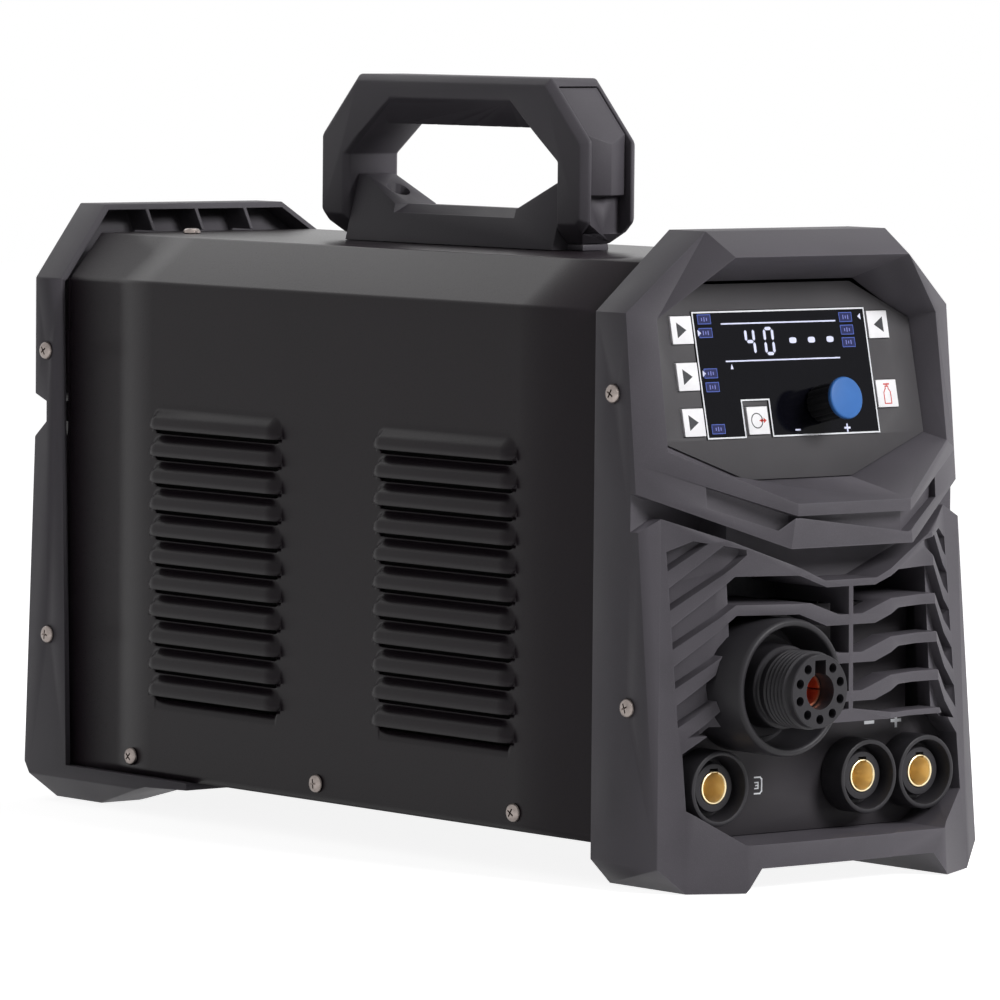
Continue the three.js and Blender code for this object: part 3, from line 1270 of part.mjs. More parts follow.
// a tab bent back from the rear panel for one side screw
function rearTab(side, y, z) {
  const across = (a, b) => (side > 0 ? [a, b] : [-b, -a]);
  const [x0, x1] = across(REAR_FLANGE_OUTER - SHEET, REAR_FLANGE_OUTER);
  const [b0, b1] = across(CASE_HALF_WIDTH - 4, REAR_FLANGE_OUTER);
  return [
    block(x0, x1, CASE_REAR + GAP, y + 5.5, z - REAR_TAB, z + REAR_TAB),
    block(b0, b1, CASE_REAR + GAP, REAR_PANEL_BACK, z - REAR_TAB, z + REAR_TAB),
  ];
}

function rearPanel() {
  const behindCover = fromFront(caseOutline(0), REAR_PANEL_BACK, CASE_REAR + GAP)
    .subtract(block(-FRAME_HALF_WIDTH, FRAME_HALF_WIDTH, CASE_REAR - 1, REAR_PANEL_BACK + 1,
      CASE_TOP - CHAMFER_DROP - GAP, CASE_TOP + OVER));
  const insideCover = fromFront(insetOutline(caseOutline(0), SHEET + GAP), REAR_PANEL_BACK,
    CASE_REAR + GAP);
  const plate = behindCover.add(insideCover);
  const tabs = SIDE_SCREW_Z.flatMap((z, i) => [1, -1].flatMap((side) => rearTab(side, REAR_SCREW_Y[i], z)));
  const fanHole = rod('y', FAN_BORE, CASE_REAR - 2, REAR_PANEL_BACK + 2, 0, FAN_CENTRE_Z, 32);
  const switchHole = block(
    SWITCH_X - SWITCH_HALF_WIDTH - GAP, SWITCH_X + SWITCH_HALF_WIDTH + GAP, CASE_REAR - 2,
      REAR_PANEL_BACK + 2,
    SWITCH_Z - SWITCH_HALF_HEIGHT - GAP, SWITCH_Z + SWITCH_HALF_HEIGHT + GAP);
  const glandHole = rod('y', GLAND_THREAD + SEAT, CASE_REAR - 2, REAR_PANEL_BACK + 2, GLAND_X, GLAND_Z, 12);
  const airHole = rod('y', AIR_THREAD + SEAT, CASE_REAR - 2, REAR_PANEL_BACK + 2, AIR_X, AIR_Z, 12);
  return cutAll(join([plate, ...tabs]), [fanHole, switchHole, glandHole, airHole,
    ...sideHoles(REAR_SCREW_Y)]);
}

function fanFrame() {
  const back = CASE_REAR;
  const front = CASE_REAR - FAN_DEPTH;
  const body = block(-FAN_HALF, FAN_HALF, front, back, FAN_CENTRE_Z - FAN_HALF, FAN_CENTRE_Z + FAN_HALF);
  const bore = rod('y', FAN_BORE, front - 1, back + 1, 0, FAN_CENTRE_Z, 32);
  const motorCup = rod('y', FAN_HUB, front, front + 4, 0, FAN_CENTRE_Z, 20);
  const pin = rod('y', FAN_PIN, front + 3.8, back - 4, 0, FAN_CENTRE_Z, 16);
  const struts = [0, 1].map((i) => block(
    -FAN_BORE - 1, FAN_BORE + 1, front, front + 3, -2, 2).rotate([0, 45 + 90 * i, 0])
      .translate([0, 0, FAN_CENTRE_Z]));
  return join([body.subtract(bore), motorCup, pin, ...struts]);
}

function fanRotor() {
  const back = CASE_REAR - 1.5;
  const front = CASE_REAR - FAN_DEPTH + 5;
  const hub = rod('y', FAN_HUB, front, back, 0, FAN_CENTRE_Z, 24);
  const blades = [];
  const section = [
    [-BLADE_CHORD - BLADE_THICK, front + 1],
    [-BLADE_CHORD + BLADE_THICK, front + 1],
    [BLADE_CHORD + BLADE_THICK, back - 1],
    [BLADE_CHORD - BLADE_THICK, back - 1],
  ];
  for (let i = 0; i < FAN_BLADES; i += 1) {
    const blade = fromAbove(section, FAN_HUB - 3, FAN_TIP);
    blades.push(blade.rotate([0, (360 * i) / FAN_BLADES, 0]).translate([0, 0, FAN_CENTRE_Z]));
  }
  const rotor = join([hub, ...blades]);
  return rotor.subtract(rod('y', FAN_PIN + GAP, front - 1, back - 2, 0, FAN_CENTRE_Z, 16));
}

function fanGuard() {
  const y0 = REAR_PANEL_BACK + GAP;
  const y1 = y0 + 2 * GUARD_WIRE;
  const rings = [];
  for (let i = 0; i < GUARD_RINGS; i += 1) {
    const radius = 14 + (i * (FAN_BORE - 14)) / (GUARD_RINGS - 1);
    rings.push(turnedY([
      [radius - GUARD_WIRE, y0 + 1], [radius + GUARD_WIRE, y0 + 1], [radius + GUARD_WIRE, y1 + 1],
        [radius - GUARD_WIRE, y1 + 1],
      [radius - GUARD_WIRE, y0 + 1],
    ], 0, FAN_CENTRE_Z, 16));
  }
  const arms = [0, 1].map((i) => block(
    -FAN_CORNER * 1.42, FAN_CORNER * 1.42, y0, y0 + 1.6, -GUARD_WIRE, GUARD_WIRE)
    .rotate([0, 45 + 90 * i, 0]).translate([0, 0, FAN_CENTRE_Z]));
  const eyes = [1, -1].flatMap((a) => [1, -1].map((b) => rod(
    'y', 4, y0, y0 + 1.6, a * FAN_CORNER, FAN_CENTRE_Z + b * FAN_CORNER, 6)));
  return join([...rings, ...arms, ...eyes]);
}

function switchBody() {
  const face = REAR_PANEL_BACK + GAP;
  const bezel = block(
    SWITCH_X - SWITCH_HALF_WIDTH - 2, SWITCH_X + SWITCH_HALF_WIDTH + 2, face, face + 2,
    SWITCH_Z - SWITCH_HALF_HEIGHT - 2, SWITCH_Z + SWITCH_HALF_HEIGHT + 2);
  const barrel = block(
    SWITCH_X - SWITCH_HALF_WIDTH, SWITCH_X + SWITCH_HALF_WIDTH, face - 24, face + 1,
    SWITCH_Z - SWITCH_HALF_HEIGHT, SWITCH_Z + SWITCH_HALF_HEIGHT);
  const pocket = block(
    SWITCH_X - SWITCH_HALF_WIDTH + SWITCH_WALL, SWITCH_X + SWITCH_HALF_WIDTH - SWITCH_WALL, face - 11,
      face + 5,
    SWITCH_Z - SWITCH_HALF_HEIGHT + SWITCH_WALL, SWITCH_Z + SWITCH_HALF_HEIGHT - SWITCH_WALL);
  const pivotHoles = rod(
    'x', ROCKER_PIN + GAP, SWITCH_X - SWITCH_HALF_WIDTH + SWITCH_WALL / 4,
      SWITCH_X + SWITCH_HALF_WIDTH - SWITCH_WALL / 4,
    ROCKER_PIVOT_Y, SWITCH_Z, 12);
  return cutAll(bezel.add(barrel), [pocket, pivotHoles]);
}

// the rocker turns on its pins about a line along X just inside the bezel, and rests in its off position
function switchRocker() {
  const half = SWITCH_HALF_HEIGHT - SWITCH_WALL - 1;
  const width = SWITCH_HALF_WIDTH - SWITCH_WALL - GAP;
  const body = fromSide([
    [-3, -half + 2], [ROCKER_RISE, -half], [ROCKER_RISE - 1.2, 0], [ROCKER_RISE, half], [-3, half - 2],
      [-5, 0],
  ], -width, width);
  const pins = rod('x', ROCKER_PIN, -width - SWITCH_WALL / 2, width + SWITCH_WALL / 2, 0, 0, 12);
  return body.add(pins).rotate([-ROCKER_TILT_DEG, 0, 0]).translate([SWITCH_X, ROCKER_PIVOT_Y, SWITCH_Z]);
}

function cableGland() {
  const face = REAR_PANEL_BACK + GAP;
  return turnedY([
    [GLAND_BORE, face - 12], [GLAND_THREAD, face - 12], [GLAND_THREAD, face], [GLAND_RADIUS, face],
    [GLAND_RADIUS, face + 5], [GLAND_RADIUS - 1.5, face + 5.4], [GLAND_RADIUS - 1.5, face + 12],
    [GLAND_BORE + 1.5, face + 16], [GLAND_BORE, face + 16], [GLAND_BORE, face - 12],
  ], GLAND_X, GLAND_Z, 12);
}

function airInlet() {
  const face = REAR_PANEL_BACK + GAP;
  return turnedY([
    [AIR_BORE, face - 10], [AIR_THREAD, face - 10], [AIR_THREAD, face], [9, face], [9, face + 5],
    [6, face + 5.4], [6, face + 9], [4.8, face + 10.5], [6, face + 12], [6, face + 18], [AIR_BORE,
      face + 18], [AIR_BORE, face - 10],
  ], AIR_X, AIR_Z, 12);
}

// =================================================================== handle

const handleY = (y) => CASE_MIDDLE_Y + y;
const symmetric = (points) => [...points, ...points.map(([y, z]) => [-y, z]).reverse()]
  .map(([y, z]) => [handleY(y), z]);

const handleOutline = () => symmetric([
  [HANDLE_TOP_HALF, HANDLE_TOP],
  [HANDLE_HALF_LENGTH, HANDLE_SHOULDER],
  [HANDLE_HALF_LENGTH, HANDLE_HEEL],
  [HANDLE_LOW_HALF, HANDLE_LOW],
]);

// a band along the end of the handle: how deep its upright and its slope lie, and its back
function endBand(side, upright, sloping, inner, low, high) {
  const slope = (HANDLE_TOP - HANDLE_SHOULDER) / (HANDLE_HALF_LENGTH - HANDLE_TOP_HALF);
  const line = (depth, slopeDepth) => {
    const drop = slopeDepth * Math.hypot(1, slope);
    const end = HANDLE_HALF_LENGTH - depth;
    const knee = HANDLE_SHOULDER + slope * depth - drop;
    return [[end, low], [end, knee], [end - (high - knee) / slope, high]];
  };
  return [...line(upright, sloping), ...line(inner, inner).reverse()]
    .map(([y, z]) => [handleY(side * y), z]);
}

// the bow: two posts and the grip, with finger ribs under the grip and a pocket at each end
function handleGrip() {
  const rings = [
    [insetOutline(handleOutline(), GRIP_BEVEL), -HANDLE_HALF_WIDTH],
    [handleOutline(), -HANDLE_HALF_WIDTH + GRIP_BEVEL],
    [handleOutline(), HANDLE_HALF_WIDTH - GRIP_BEVEL],
    [insetOutline(handleOutline(), GRIP_BEVEL), HANDLE_HALF_WIDTH],
  ].map(([points, x]) => points.map(([y, z]) => [x, y, z]));
  const heel = fromFront(mirrorX([
    [HANDLE_HALF_WIDTH + 1, HANDLE_TOP + 1],
    [HANDLE_HALF_WIDTH + 1, HANDLE_HEEL],
    [HANDLE_HEEL_HALF, HANDLE_LOW - 1],
  ]), handleY(HANDLE_HALF_LENGTH + 1), handleY(-HANDLE_HALF_LENGTH - 1));
  const opening = openingCutter().subtract(gripBelly());
  const seats = [1, -1].map((side) => fromSide(
    endBand(side, -OVER, -OVER, SHIELD_SEAT, POCKET_TOP - 1, END_BAND_TOP), -SHIELD_HALF - GAP,
    SHIELD_HALF + GAP));
  const body = loft(rings).intersect(heel);
  return cutAll(body, [opening, ...seats, endPocket(1), endPocket(-1)]);
}

// the opening for the hand, chamfered along the posts on both faces
function openingCutter() {
  const ring = (x, grow) => symmetric([
    [OPENING_TOP_HALF, OPENING_TOP],
    [OPENING_HALF + grow, OPENING_SHOULDER],
    [OPENING_HALF + grow, HANDLE_LOW - 5],
  ]).map(([y, z]) => [x, y, z]);
  const face = HANDLE_HALF_WIDTH;
  return loft([
    ring(-face - 1, POST_CHAMFER + 1),
    ring(-face + POST_CHAMFER, 0),
    ring(face - POST_CHAMFER, 0),
    ring(face + 1, POST_CHAMFER + 1),
  ]);
}

// the underside of the grip: it swells downward, with shallow grooves between the fingers
function gripBelly() {
  const belly = fromFront(mirrorX([
    [HANDLE_HALF_WIDTH, OPENING_TOP + 1],
    [HANDLE_HALF_WIDTH, OPENING_TOP],
    [BELLY_HALF, BELLY_LOW],
  ]), handleY(OPENING_HALF), handleY(-OPENING_HALF));
  const grooves = [];
  for (let i = 0; i <= GRIP_RIBS; i += 1) {
    const y = handleY((i - GRIP_RIBS / 2) * GRIP_RIB_PITCH);
    grooves.push(fromSide([
      [y - 2.4, BELLY_LOW - 1], [y + 2.4, BELLY_LOW - 1], [y + 1.6, BELLY_LOW + GRIP_RIB_DEPTH],
      [y - 1.6, BELLY_LOW + GRIP_RIB_DEPTH],
    ], -HANDLE_HALF_WIDTH, HANDLE_HALF_WIDTH));
  }
  return cutAll(belly, grooves);
}

// the open pocket under the end cover, its floor creased forward in the middle
function endPocket(side) {
  const ring = (x, depth, top) => [
    [x, handleY(side * (HANDLE_HALF_LENGTH + 2)), HANDLE_LOW + 5],
    [x, handleY(side * (HANDLE_HALF_LENGTH + 2)), top],
    [x, handleY(side * (HANDLE_HALF_LENGTH - depth)), top],
    [x, handleY(side * (HANDLE_HALF_LENGTH - depth)), HANDLE_LOW + 5],
  ];
  return loft([
    ring(-SHIELD_HALF - GAP, POCKET_DEPTH, POCKET_TOP),
    ring(0, POCKET_DEPTH - 3, POCKET_TOP),
    ring(SHIELD_HALF + GAP, POCKET_DEPTH, POCKET_TOP),
  ]);
}

// the cover let into each end of the handle: a flat slope above, creased along the middle below
function handleShield(side) {
  const high = END_BAND_TOP - 2 * GAP;
  const ring = (x, upright) => endBand(side, upright, SHIELD_SET, SHIELD_SEAT - GAP, POCKET_TOP, high)
    .map(([y, z]) => [x, y, z]);
  return loft([ring(-SHIELD_HALF, SHIELD_EDGE_SET), ring(0, 0), ring(SHIELD_HALF, SHIELD_EDGE_SET)]);
}

// the plinth between the posts, screwed to the top of the case
function handlePlinth() {
  const foot = CASE_TOP + GAP;
  const outline = symmetric([
    [PLINTH_TOP_HALF, PLINTH_TOP],
    [PLINTH_SIDE_HALF, OPENING_LEDGE],
    [OPENING_HALF - GAP, OPENING_LEDGE],
    [OPENING_HALF - GAP, foot],
  ]);
  const section = fromFront(mirrorX([
    [PLINTH_LEDGE_HALF_WIDTH, OPENING_LEDGE + 1],
    [PLINTH_HALF_WIDTH, CASE_TOP],
  ]), handleY(HANDLE_HALF_LENGTH), handleY(-HANDLE_HALF_LENGTH));
  const barChamfers = [1, -1].map((side) => fromFront([
    [side * PLINTH_RIDGE_HALF, PLINTH_TOP], [side * PLINTH_BAR_HALF, PLINTH_BAR_SIDE],
    [side * (PLINTH_HALF_WIDTH + 1), PLINTH_BAR_SIDE], [side * (PLINTH_HALF_WIDTH + 1), PLINTH_TOP + 1],
    [side * PLINTH_RIDGE_HALF, PLINTH_TOP + 1],
  ], handleY(PLINTH_TOP_HALF), handleY(-PLINTH_TOP_HALF)));
  const tongue = block(
    -HANDLE_HEEL_HALF, HANDLE_HEEL_HALF, handleY(-HANDLE_LOW_HALF), handleY(HANDLE_LOW_HALF), foot,
      HANDLE_LOW - GAP);
  const screwWells = [1, -1].map((side) => rod(
    'z', PLINTH_WELL, PLINTH_TOP - 4, OPENING_LEDGE + 1, 0, handleY(side * PLINTH_SCREW_Y), 14));
  const body = fromSide(outline, -PLINTH_HALF_WIDTH, PLINTH_HALF_WIDTH).intersect(section);
  return cutAll(body.add(tongue), [...barChamfers, ...screwWells]);
}

// ==================================================================== screws

// a pan head screw with a square recess, its tip along +Y and its head at y = 0
function screwSolid(length) {
  const head = turnedY([
    [0, 0], [SCREW_HEAD, 0], [SCREW_HEAD * 0.7, -SCREW_HEAD_HEIGHT], [0, -SCREW_HEAD_HEIGHT],
  ], 0, 0, 10);
  const shank = rod('y', SCREW_SHANK, -SCREW_HEAD_HEIGHT / 2, length, 0, 0, 6);
  const recess = block(
    -SCREW_RECESS, SCREW_RECESS, -SCREW_HEAD_HEIGHT - 1, SCREW_RECESS_DEPTH - SCREW_HEAD_HEIGHT,
    -SCREW_RECESS, SCREW_RECESS);
  return head.add(shank).subtract(recess);
}

function sideScrew(side, face, y, z, length) {
  return screwSolid(length).rotate([0, 0, side > 0 ? 90 : -90]).translate([side * (face + GAP), y, z]);
}

// ================================================================== assembly

addPiece('front_frame', frontFrame(), 'frame');
addPiece('inner_front_plate', innerPlate(), 'zinc');
addPiece('control_panel', controlPanel(), 'fascia');
addPiece('display_window', displayWindow(), 'glass');
addPiece('display_board', displayBoard(), 'board');
addPiece('encoder', encoder(), 'zinc');
addPiece('knob', knobBody(), 'knob');
addPiece('knob_cap', knobCap(), 'blue');
for (const [name, x, z] of BUTTON_PLACES) {
  addPiece(name, pushButton(x, z), 'key');
}
addPiece('connector_panel', connectorPanel(), 'bay');
addPiece('torch_shroud', torchShroud(), 'insulator');
addPiece('torch_connector', torchConnector(), 'insulator');
addPiece('torch_contact', torchContact(), 'copper');
SOCKET_X.forEach((x, i) => {
  addPiece(`socket_body_${SOCKET_NAMES[i]}`, socketBody(x), 'insulator');
  addPiece(`socket_contact_${SOCKET_NAMES[i]}`, socketContact(x), 'brass');
});
addPiece('case_cover', caseCover(), 'sheet');
addPiece('base_tray', baseTray(), 'sheet');
addPiece('screw_top', screwSolid(SCREW_LENGTH - 2).rotate([-90, 0, 0])
  .translate([TOP_SCREW_X, TOP_SCREW_Y, CASE_TOP + GAP]), 'nickel');
addPiece('chassis_shelf', chassisShelf(), 'zinc');
addPiece('power_board', powerBoard(), 'board');
addPiece('heat_sink', heatSink(), 'aluminium');
addPiece('transformer', transformer(), 'core');
addPiece('compressor_motor', compressorMotor(), 'aluminium');
addPiece('compressor_head', compressorHead(), 'aluminium');
addPiece('rear_frame', rearFrame(), 'frame');
addPiece('rear_panel', rearPanel(), 'sheet');
addPiece('fan_frame', fanFrame(), 'knob');
addPiece('fan_rotor', fanRotor(), 'knob');
addPiece('fan_guard', fanGuard(), 'nickel');
addPiece('switch_body', switchBody(), 'knob');
addPiece('switch_rocker', switchRocker(), 'knob');
addPiece('cable_gland', cableGland(), 'rubber');
addPiece('air_inlet', airInlet(), 'brass');
addPiece('handle_grip', handleGrip(), 'frame');
addPiece('handle_plinth', handlePlinth(), 'frame');
addPiece('handle_shield_front', handleShield(-1), 'frame');
addPiece('handle_shield_rear', handleShield(1), 'frame');

for (const [side, sideName] of [[-1, 'left'], [1, 'right']]) {
  SIDE_SCREW_Z.forEach((z, i) => {
    const level = ['lower', 'upper'][i];
    addPiece(`screw_front_${sideName}_${level}`,
      sideScrew(side, FRAME_HALF_WIDTH, FRONT_SCREW_Y[i], z, FRAME_HALF_WIDTH - FLANGE_INNER - 1), 'nickel');
    addPiece(`screw_rear_${sideName}_${level}`,
      sideScrew(side, FRAME_HALF_WIDTH, REAR_SCREW_Y[i], z, SCREW_LENGTH), 'nickel');
  });
  SKIRT_SCREW_Y.forEach((y, i) => {
    addPiece(`screw_skirt_${sideName}_${['front', 'middle', 'rear'][i]}`,
      sideScrew(side, CASE_HALF_WIDTH, y, SKIRT_SCREW_Z, 6), 'nickel');
  });
}

export default unit;
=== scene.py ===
"""Looks of a portable plasma cutter power unit, in metres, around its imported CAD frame."""

import json
import math

import bmesh
import bpy
from mathutils import Matrix, Vector

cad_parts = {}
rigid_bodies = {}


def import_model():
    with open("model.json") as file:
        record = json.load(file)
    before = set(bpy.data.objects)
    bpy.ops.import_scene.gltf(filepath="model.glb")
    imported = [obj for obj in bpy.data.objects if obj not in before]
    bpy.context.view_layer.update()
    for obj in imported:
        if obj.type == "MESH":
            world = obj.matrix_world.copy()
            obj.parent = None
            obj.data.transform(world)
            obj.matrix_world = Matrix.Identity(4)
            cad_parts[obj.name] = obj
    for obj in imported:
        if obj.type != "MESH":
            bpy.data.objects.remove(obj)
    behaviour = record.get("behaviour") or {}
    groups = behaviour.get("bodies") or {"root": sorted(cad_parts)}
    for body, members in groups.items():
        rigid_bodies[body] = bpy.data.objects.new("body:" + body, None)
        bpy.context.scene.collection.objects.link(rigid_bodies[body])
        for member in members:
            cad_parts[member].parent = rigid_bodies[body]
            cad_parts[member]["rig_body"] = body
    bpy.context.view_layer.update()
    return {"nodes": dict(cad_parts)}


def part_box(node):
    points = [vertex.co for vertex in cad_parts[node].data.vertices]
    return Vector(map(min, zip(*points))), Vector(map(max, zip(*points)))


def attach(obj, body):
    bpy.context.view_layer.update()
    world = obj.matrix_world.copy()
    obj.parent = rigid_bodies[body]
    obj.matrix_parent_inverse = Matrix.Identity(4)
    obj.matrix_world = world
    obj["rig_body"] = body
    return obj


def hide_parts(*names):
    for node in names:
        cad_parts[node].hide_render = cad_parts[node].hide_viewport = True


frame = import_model()
MM = 0.001
MAIN = "unit"


# ---- places taken from the frame
def body_of(node):
    return frame["nodes"][node]["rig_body"]


SLOT_OF = {name: node.material_slots[0].material.name.split(".")[0] for name, node in frame["nodes"].items()}
FORWARD_SHIFT = 14.1 * MM  # from the part's own zero, which its depths count from, to the frame's origin
CASE_HALF = 96 * MM
CASE_TOP = 288 * MM
CASE_LOW = 19 * MM
SHEET = 1.2 * MM
CHAMFER_IN = 28 * MM
CHAMFER_DROP = 22 * MM
COVER_REAR = 217 * MM + FORWARD_SHIFT
COVER_TOP_SET = 12 * MM  # the cover's rear edge leans back by this at its top

FASCIA_LEAN = 0.2235
FASCIA_FOOT = -270.2  # where the fascia's plane meets the ground


def at(x, y, z):
    """A place given in millimetres of the part."""
    return Vector((x * MM, y * MM + FORWARD_SHIFT, z * MM))


def on_fascia(x, z, out=0.0):
    """A point on the leaning fascia plane, in millimetres of the part, stood forward by out."""
    return at(x, FASCIA_FOOT + FASCIA_LEAN * z - out, z)


# ---- objects, meshes and shader nodes
def new_object(name, data):
    made = bpy.data.objects.new(name, data)
    bpy.context.scene.collection.objects.link(made)
    return made


def new_mesh(name, verts, faces):
    mesh = bpy.data.meshes.new(name)
    mesh.from_pydata([tuple(v) for v in verts], [], faces)
    return mesh


def fill(tree, node, inputs):
    """Sets a node's inputs, and links those that are given a socket."""
    for name, value in inputs.items():
        if isinstance(value, bpy.types.NodeSocket):
            tree.links.new(value, node.inputs[name])
        else:
            node.inputs[name].default_value = value


def add_node(tree, kind, inputs):
    node = tree.nodes.new("ShaderNode" + kind)
    fill(tree, node, inputs)
    return node


# ---- camera, light and floor
PHOTO_WIDTH = 1000
FOCAL_PIXELS = 7250
SENSOR = 36
CAMERA_PLACE = Vector((-2.2525, -2.7398, 0.4154))
CAMERA_AZIMUTH = math.radians(39.38)
CAMERA_PITCH = math.radians(4.06)
CAMERA_ROLL = math.radians(0.53)


def make_camera():
    data = bpy.data.cameras.new("camera")
    data.sensor_width = SENSOR
    data.lens = SENSOR * FOCAL_PIXELS / PHOTO_WIDTH
    data.clip_start = 0.1
    data.clip_end = 50
    turn, pitch, roll = CAMERA_AZIMUTH, CAMERA_PITCH, CAMERA_ROLL
    level = Vector((math.cos(turn), -math.sin(turn), 0))
    ahead = Vector((math.sin(turn) * math.cos(pitch), math.cos(turn) * math.cos(pitch), -math.sin(pitch)))
    upward = level.cross(ahead)
    right = math.cos(roll) * level + math.sin(roll) * upward
    up = math.cos(roll) * upward - math.sin(roll) * level
    camera = new_object("camera", data)
    camera.matrix_world = Matrix.Translation(CAMERA_PLACE) @ Matrix((right, up, -ahead)).transposed().to_4x4()
    bpy.context.scene.camera = camera


def area_light(name, place, aim, size, power):
    data = bpy.data.lights.new(name, "AREA")
    data.shape = "RECTANGLE"
    data.size, data.size_y = size
    data.energy = power
    light = new_object(name, data)
    light.location = place
    light.rotation_mode = "QUATERNION"
    light.rotation_quaternion = (Vector(aim) - Vector(place)).to_track_quat("-Z", "Y")


def backdrop_factor(tree):
    """One for what the camera sees, directly or in gloss and glass, and zero for light."""
    path = add_node(tree, "LightPath", {})
    seen = path.outputs["Is Camera Ray"]
    for ray in ("Is Glossy Ray", "Is Transmission Ray"):
        either = add_node(tree, "Math", {0: seen, 1: path.outputs[ray]})
        either.operation = "MAXIMUM"
        seen = either.outputs[0]
    return seen


def end_tree(tree, output, lit, seen):
    """Ends a node tree with one shader for light and one for what the camera sees."""
    inputs = {"Fac": backdrop_factor(tree), 1: lit.outputs[0], 2: seen.outputs[0]}
    mix = add_node(tree, "MixShader", inputs)
    add_node(tree, output, {"Surface": mix.outputs[0]})


WHITE = (1, 1, 1, 1)
AMBIENT = 0.145
FLOOR_GLOW = 0.88  # lifts the floor to white where the camera sees it, and keeps the shadow
FLOOR_SHADE = (0.8, 0.8, 0.8, 1)
FLOOR_HALF = 6.0
FLOOR_DROP = 0.6 * MM  # keeps the floor clear of the feet's soles


def make_world():
    world = bpy.data.worlds.new("studio")
    bpy.context.scene.world = world
    world.use_nodes = True
    tree = world.node_tree
    tree.nodes.clear()
    soft = add_node(tree, "Background", {"Color": WHITE, "Strength": AMBIENT})
    white = add_node(tree, "Background", {"Color": WHITE, "Strength": 1.0})
    end_tree(tree, "OutputWorld", soft, white)


def make_floor():
    corners = [(x * FLOOR_HALF, y * FLOOR_HALF, 0) for x, y in ((-1, -1), (1, -1), (1, 1), (-1, 1))]
    floor = new_object("floor", new_mesh("floor", corners, [(0, 1, 2, 3)]))
    floor.location.z = -FLOOR_DROP
    material = bpy.data.materials.new("floor")
    material.use_nodes = True
    tree = material.node_tree
    tree.nodes.clear()
    matt = add_node(tree, "BsdfDiffuse", {"Color": FLOOR_SHADE})
    glow = add_node(tree, "Emission", {"Color": WHITE, "Strength": FLOOR_GLOW})
    both = add_node(tree, "AddShader", {0: matt.outputs[0], 1: glow.outputs[0]})
    end_tree(tree, "OutputMaterial", matt, both)
    floor.data.materials.append(material)


# ---- materials
class Finish:
    """A principled material with short calls for the nodes that give it its detail."""

    def __init__(self, name, colour, roughness, *, metallic=0.0, specular=0.5):
        self.material = bpy.data.materials.new(name)
        self.material.use_nodes = True
        self.tree = self.material.node_tree
        self.place = self.node("TexCoord", {}).outputs["Object"]
        self.relief = None
        self.surface({"Base Color": (*colour, 1), "Roughness": roughness, "Metallic": metallic,
                      "Specular IOR Level": specular})

    def node(self, kind, inputs):
        return add_node(self.tree, kind, inputs)

    def surface(self, inputs):
        """Sets or links inputs of the surface itself."""
        fill(self.tree, self.tree.nodes["Principled BSDF"], inputs)

    def noise(self, size, detail, stretch=(1, 1, 1)):
        """Noise whose features measure about size metres, drawn out along an axis by stretch."""
        mapping = self.node("Mapping", {"Vector": self.place, "Scale": [1 / (size * s) for s in stretch]})
        inputs = {"Vector": mapping.outputs["Vector"], "Scale": 1.0, "Detail": detail}
        return self.node("TexNoise", inputs).outputs["Fac"]

    def span(self, value, low, high, from_low=0.3, from_high=0.7):
        """A value spread between two numbers."""
        inputs = {"Value": value, "From Min": from_low, "From Max": from_high, "To Min": low, "To Max": high}
        return self.node("MapRange", inputs).outputs["Result"]

    def blend(self, factor, first, second):
        """A colour between two colours, or between a socket and a colour."""
        mix = self.node("Mix", {})
        mix.data_type = "RGBA"
        if isinstance(first, tuple):
            first = (*first, 1)
        fill(self.tree, mix, {"Factor": factor, 6: first, 7: (*second, 1)})
        return mix.outputs[2]

    def bump(self, height, depth):
        """Relief of a depth in metres, added to what is there."""
        inputs = {"Strength": 1.0, "Distance": depth, "Height": height}
        if self.relief is not None:
            inputs["Normal"] = self.relief
        self.relief = self.node("Bump", inputs).outputs["Normal"]
        self.surface({"Normal": self.relief})

    def edge_mask(self, radius):
        """One along worn outside edges and zero on flats."""
        bevel = self.node("Bevel", {"Radius": radius})
        bevel.samples = 4
        shape = self.node("NewGeometry", {})
        dot = self.node("VectorMath", {0: bevel.outputs["Normal"], 1: shape.outputs["True Normal"]})
        dot.operation = "DOT_PRODUCT"
        return self.span(dot.outputs["Value"], 1.0, 0.0, 0.9, 0.995)


def tinted(colour, by):
    return tuple(min(1.0, c * by) for c in colour)


WORN_EDGE = 0.7 * MM


def moulded_plastic(name, colour, roughness=0.5, grain=0.45 * MM, depth=0.05 * MM, specular=0.35, worn=1.5):
    """Plastic with a fine moulded grain, a cloudy tone and paler edges."""
    finish = Finish(name, colour, roughness, specular=specular)
    cloud = finish.noise(34 * MM, 3)
    speck = finish.noise(grain, 2)
    shade = finish.blend(finish.span(cloud, 0, 1), tinted(colour, 0.9), tinted(colour, 1.1))
    shade = finish.blend(finish.span(speck, 0, 0.35, 0.5, 0.75), shade, tinted(colour, 1.45))
    edge = finish.edge_mask(WORN_EDGE)
    shade = finish.blend(finish.span(edge, 0, 0.5, 0.2, 1.0), shade, tinted(colour, worn))
    finish.surface({"Base Color": shade, "Roughness": finish.span(cloud, roughness - 0.04, roughness + 0.05)})
    finish.bump(speck, depth)
    return finish.material


def powder_coat(name, colour, roughness, specular):
    """Paint baked on sheet, with a faint orange peel."""
    finish = Finish(name, colour, roughness, specular=specular)
    cloud = finish.noise(60 * MM, 3)
    peel = finish.noise(1.6 * MM, 3)
    fine = finish.noise(0.35 * MM, 1)
    shade = finish.blend(finish.span(cloud, 0, 1), tinted(colour, 0.92), tinted(colour, 1.08))
    finish.surface({"Base Color": shade, "Roughness": finish.span(fine, roughness - 0.03, roughness + 0.05)})
    finish.bump(peel, 0.02 * MM)
    finish.bump(fine, 0.006 * MM)
    return finish.material


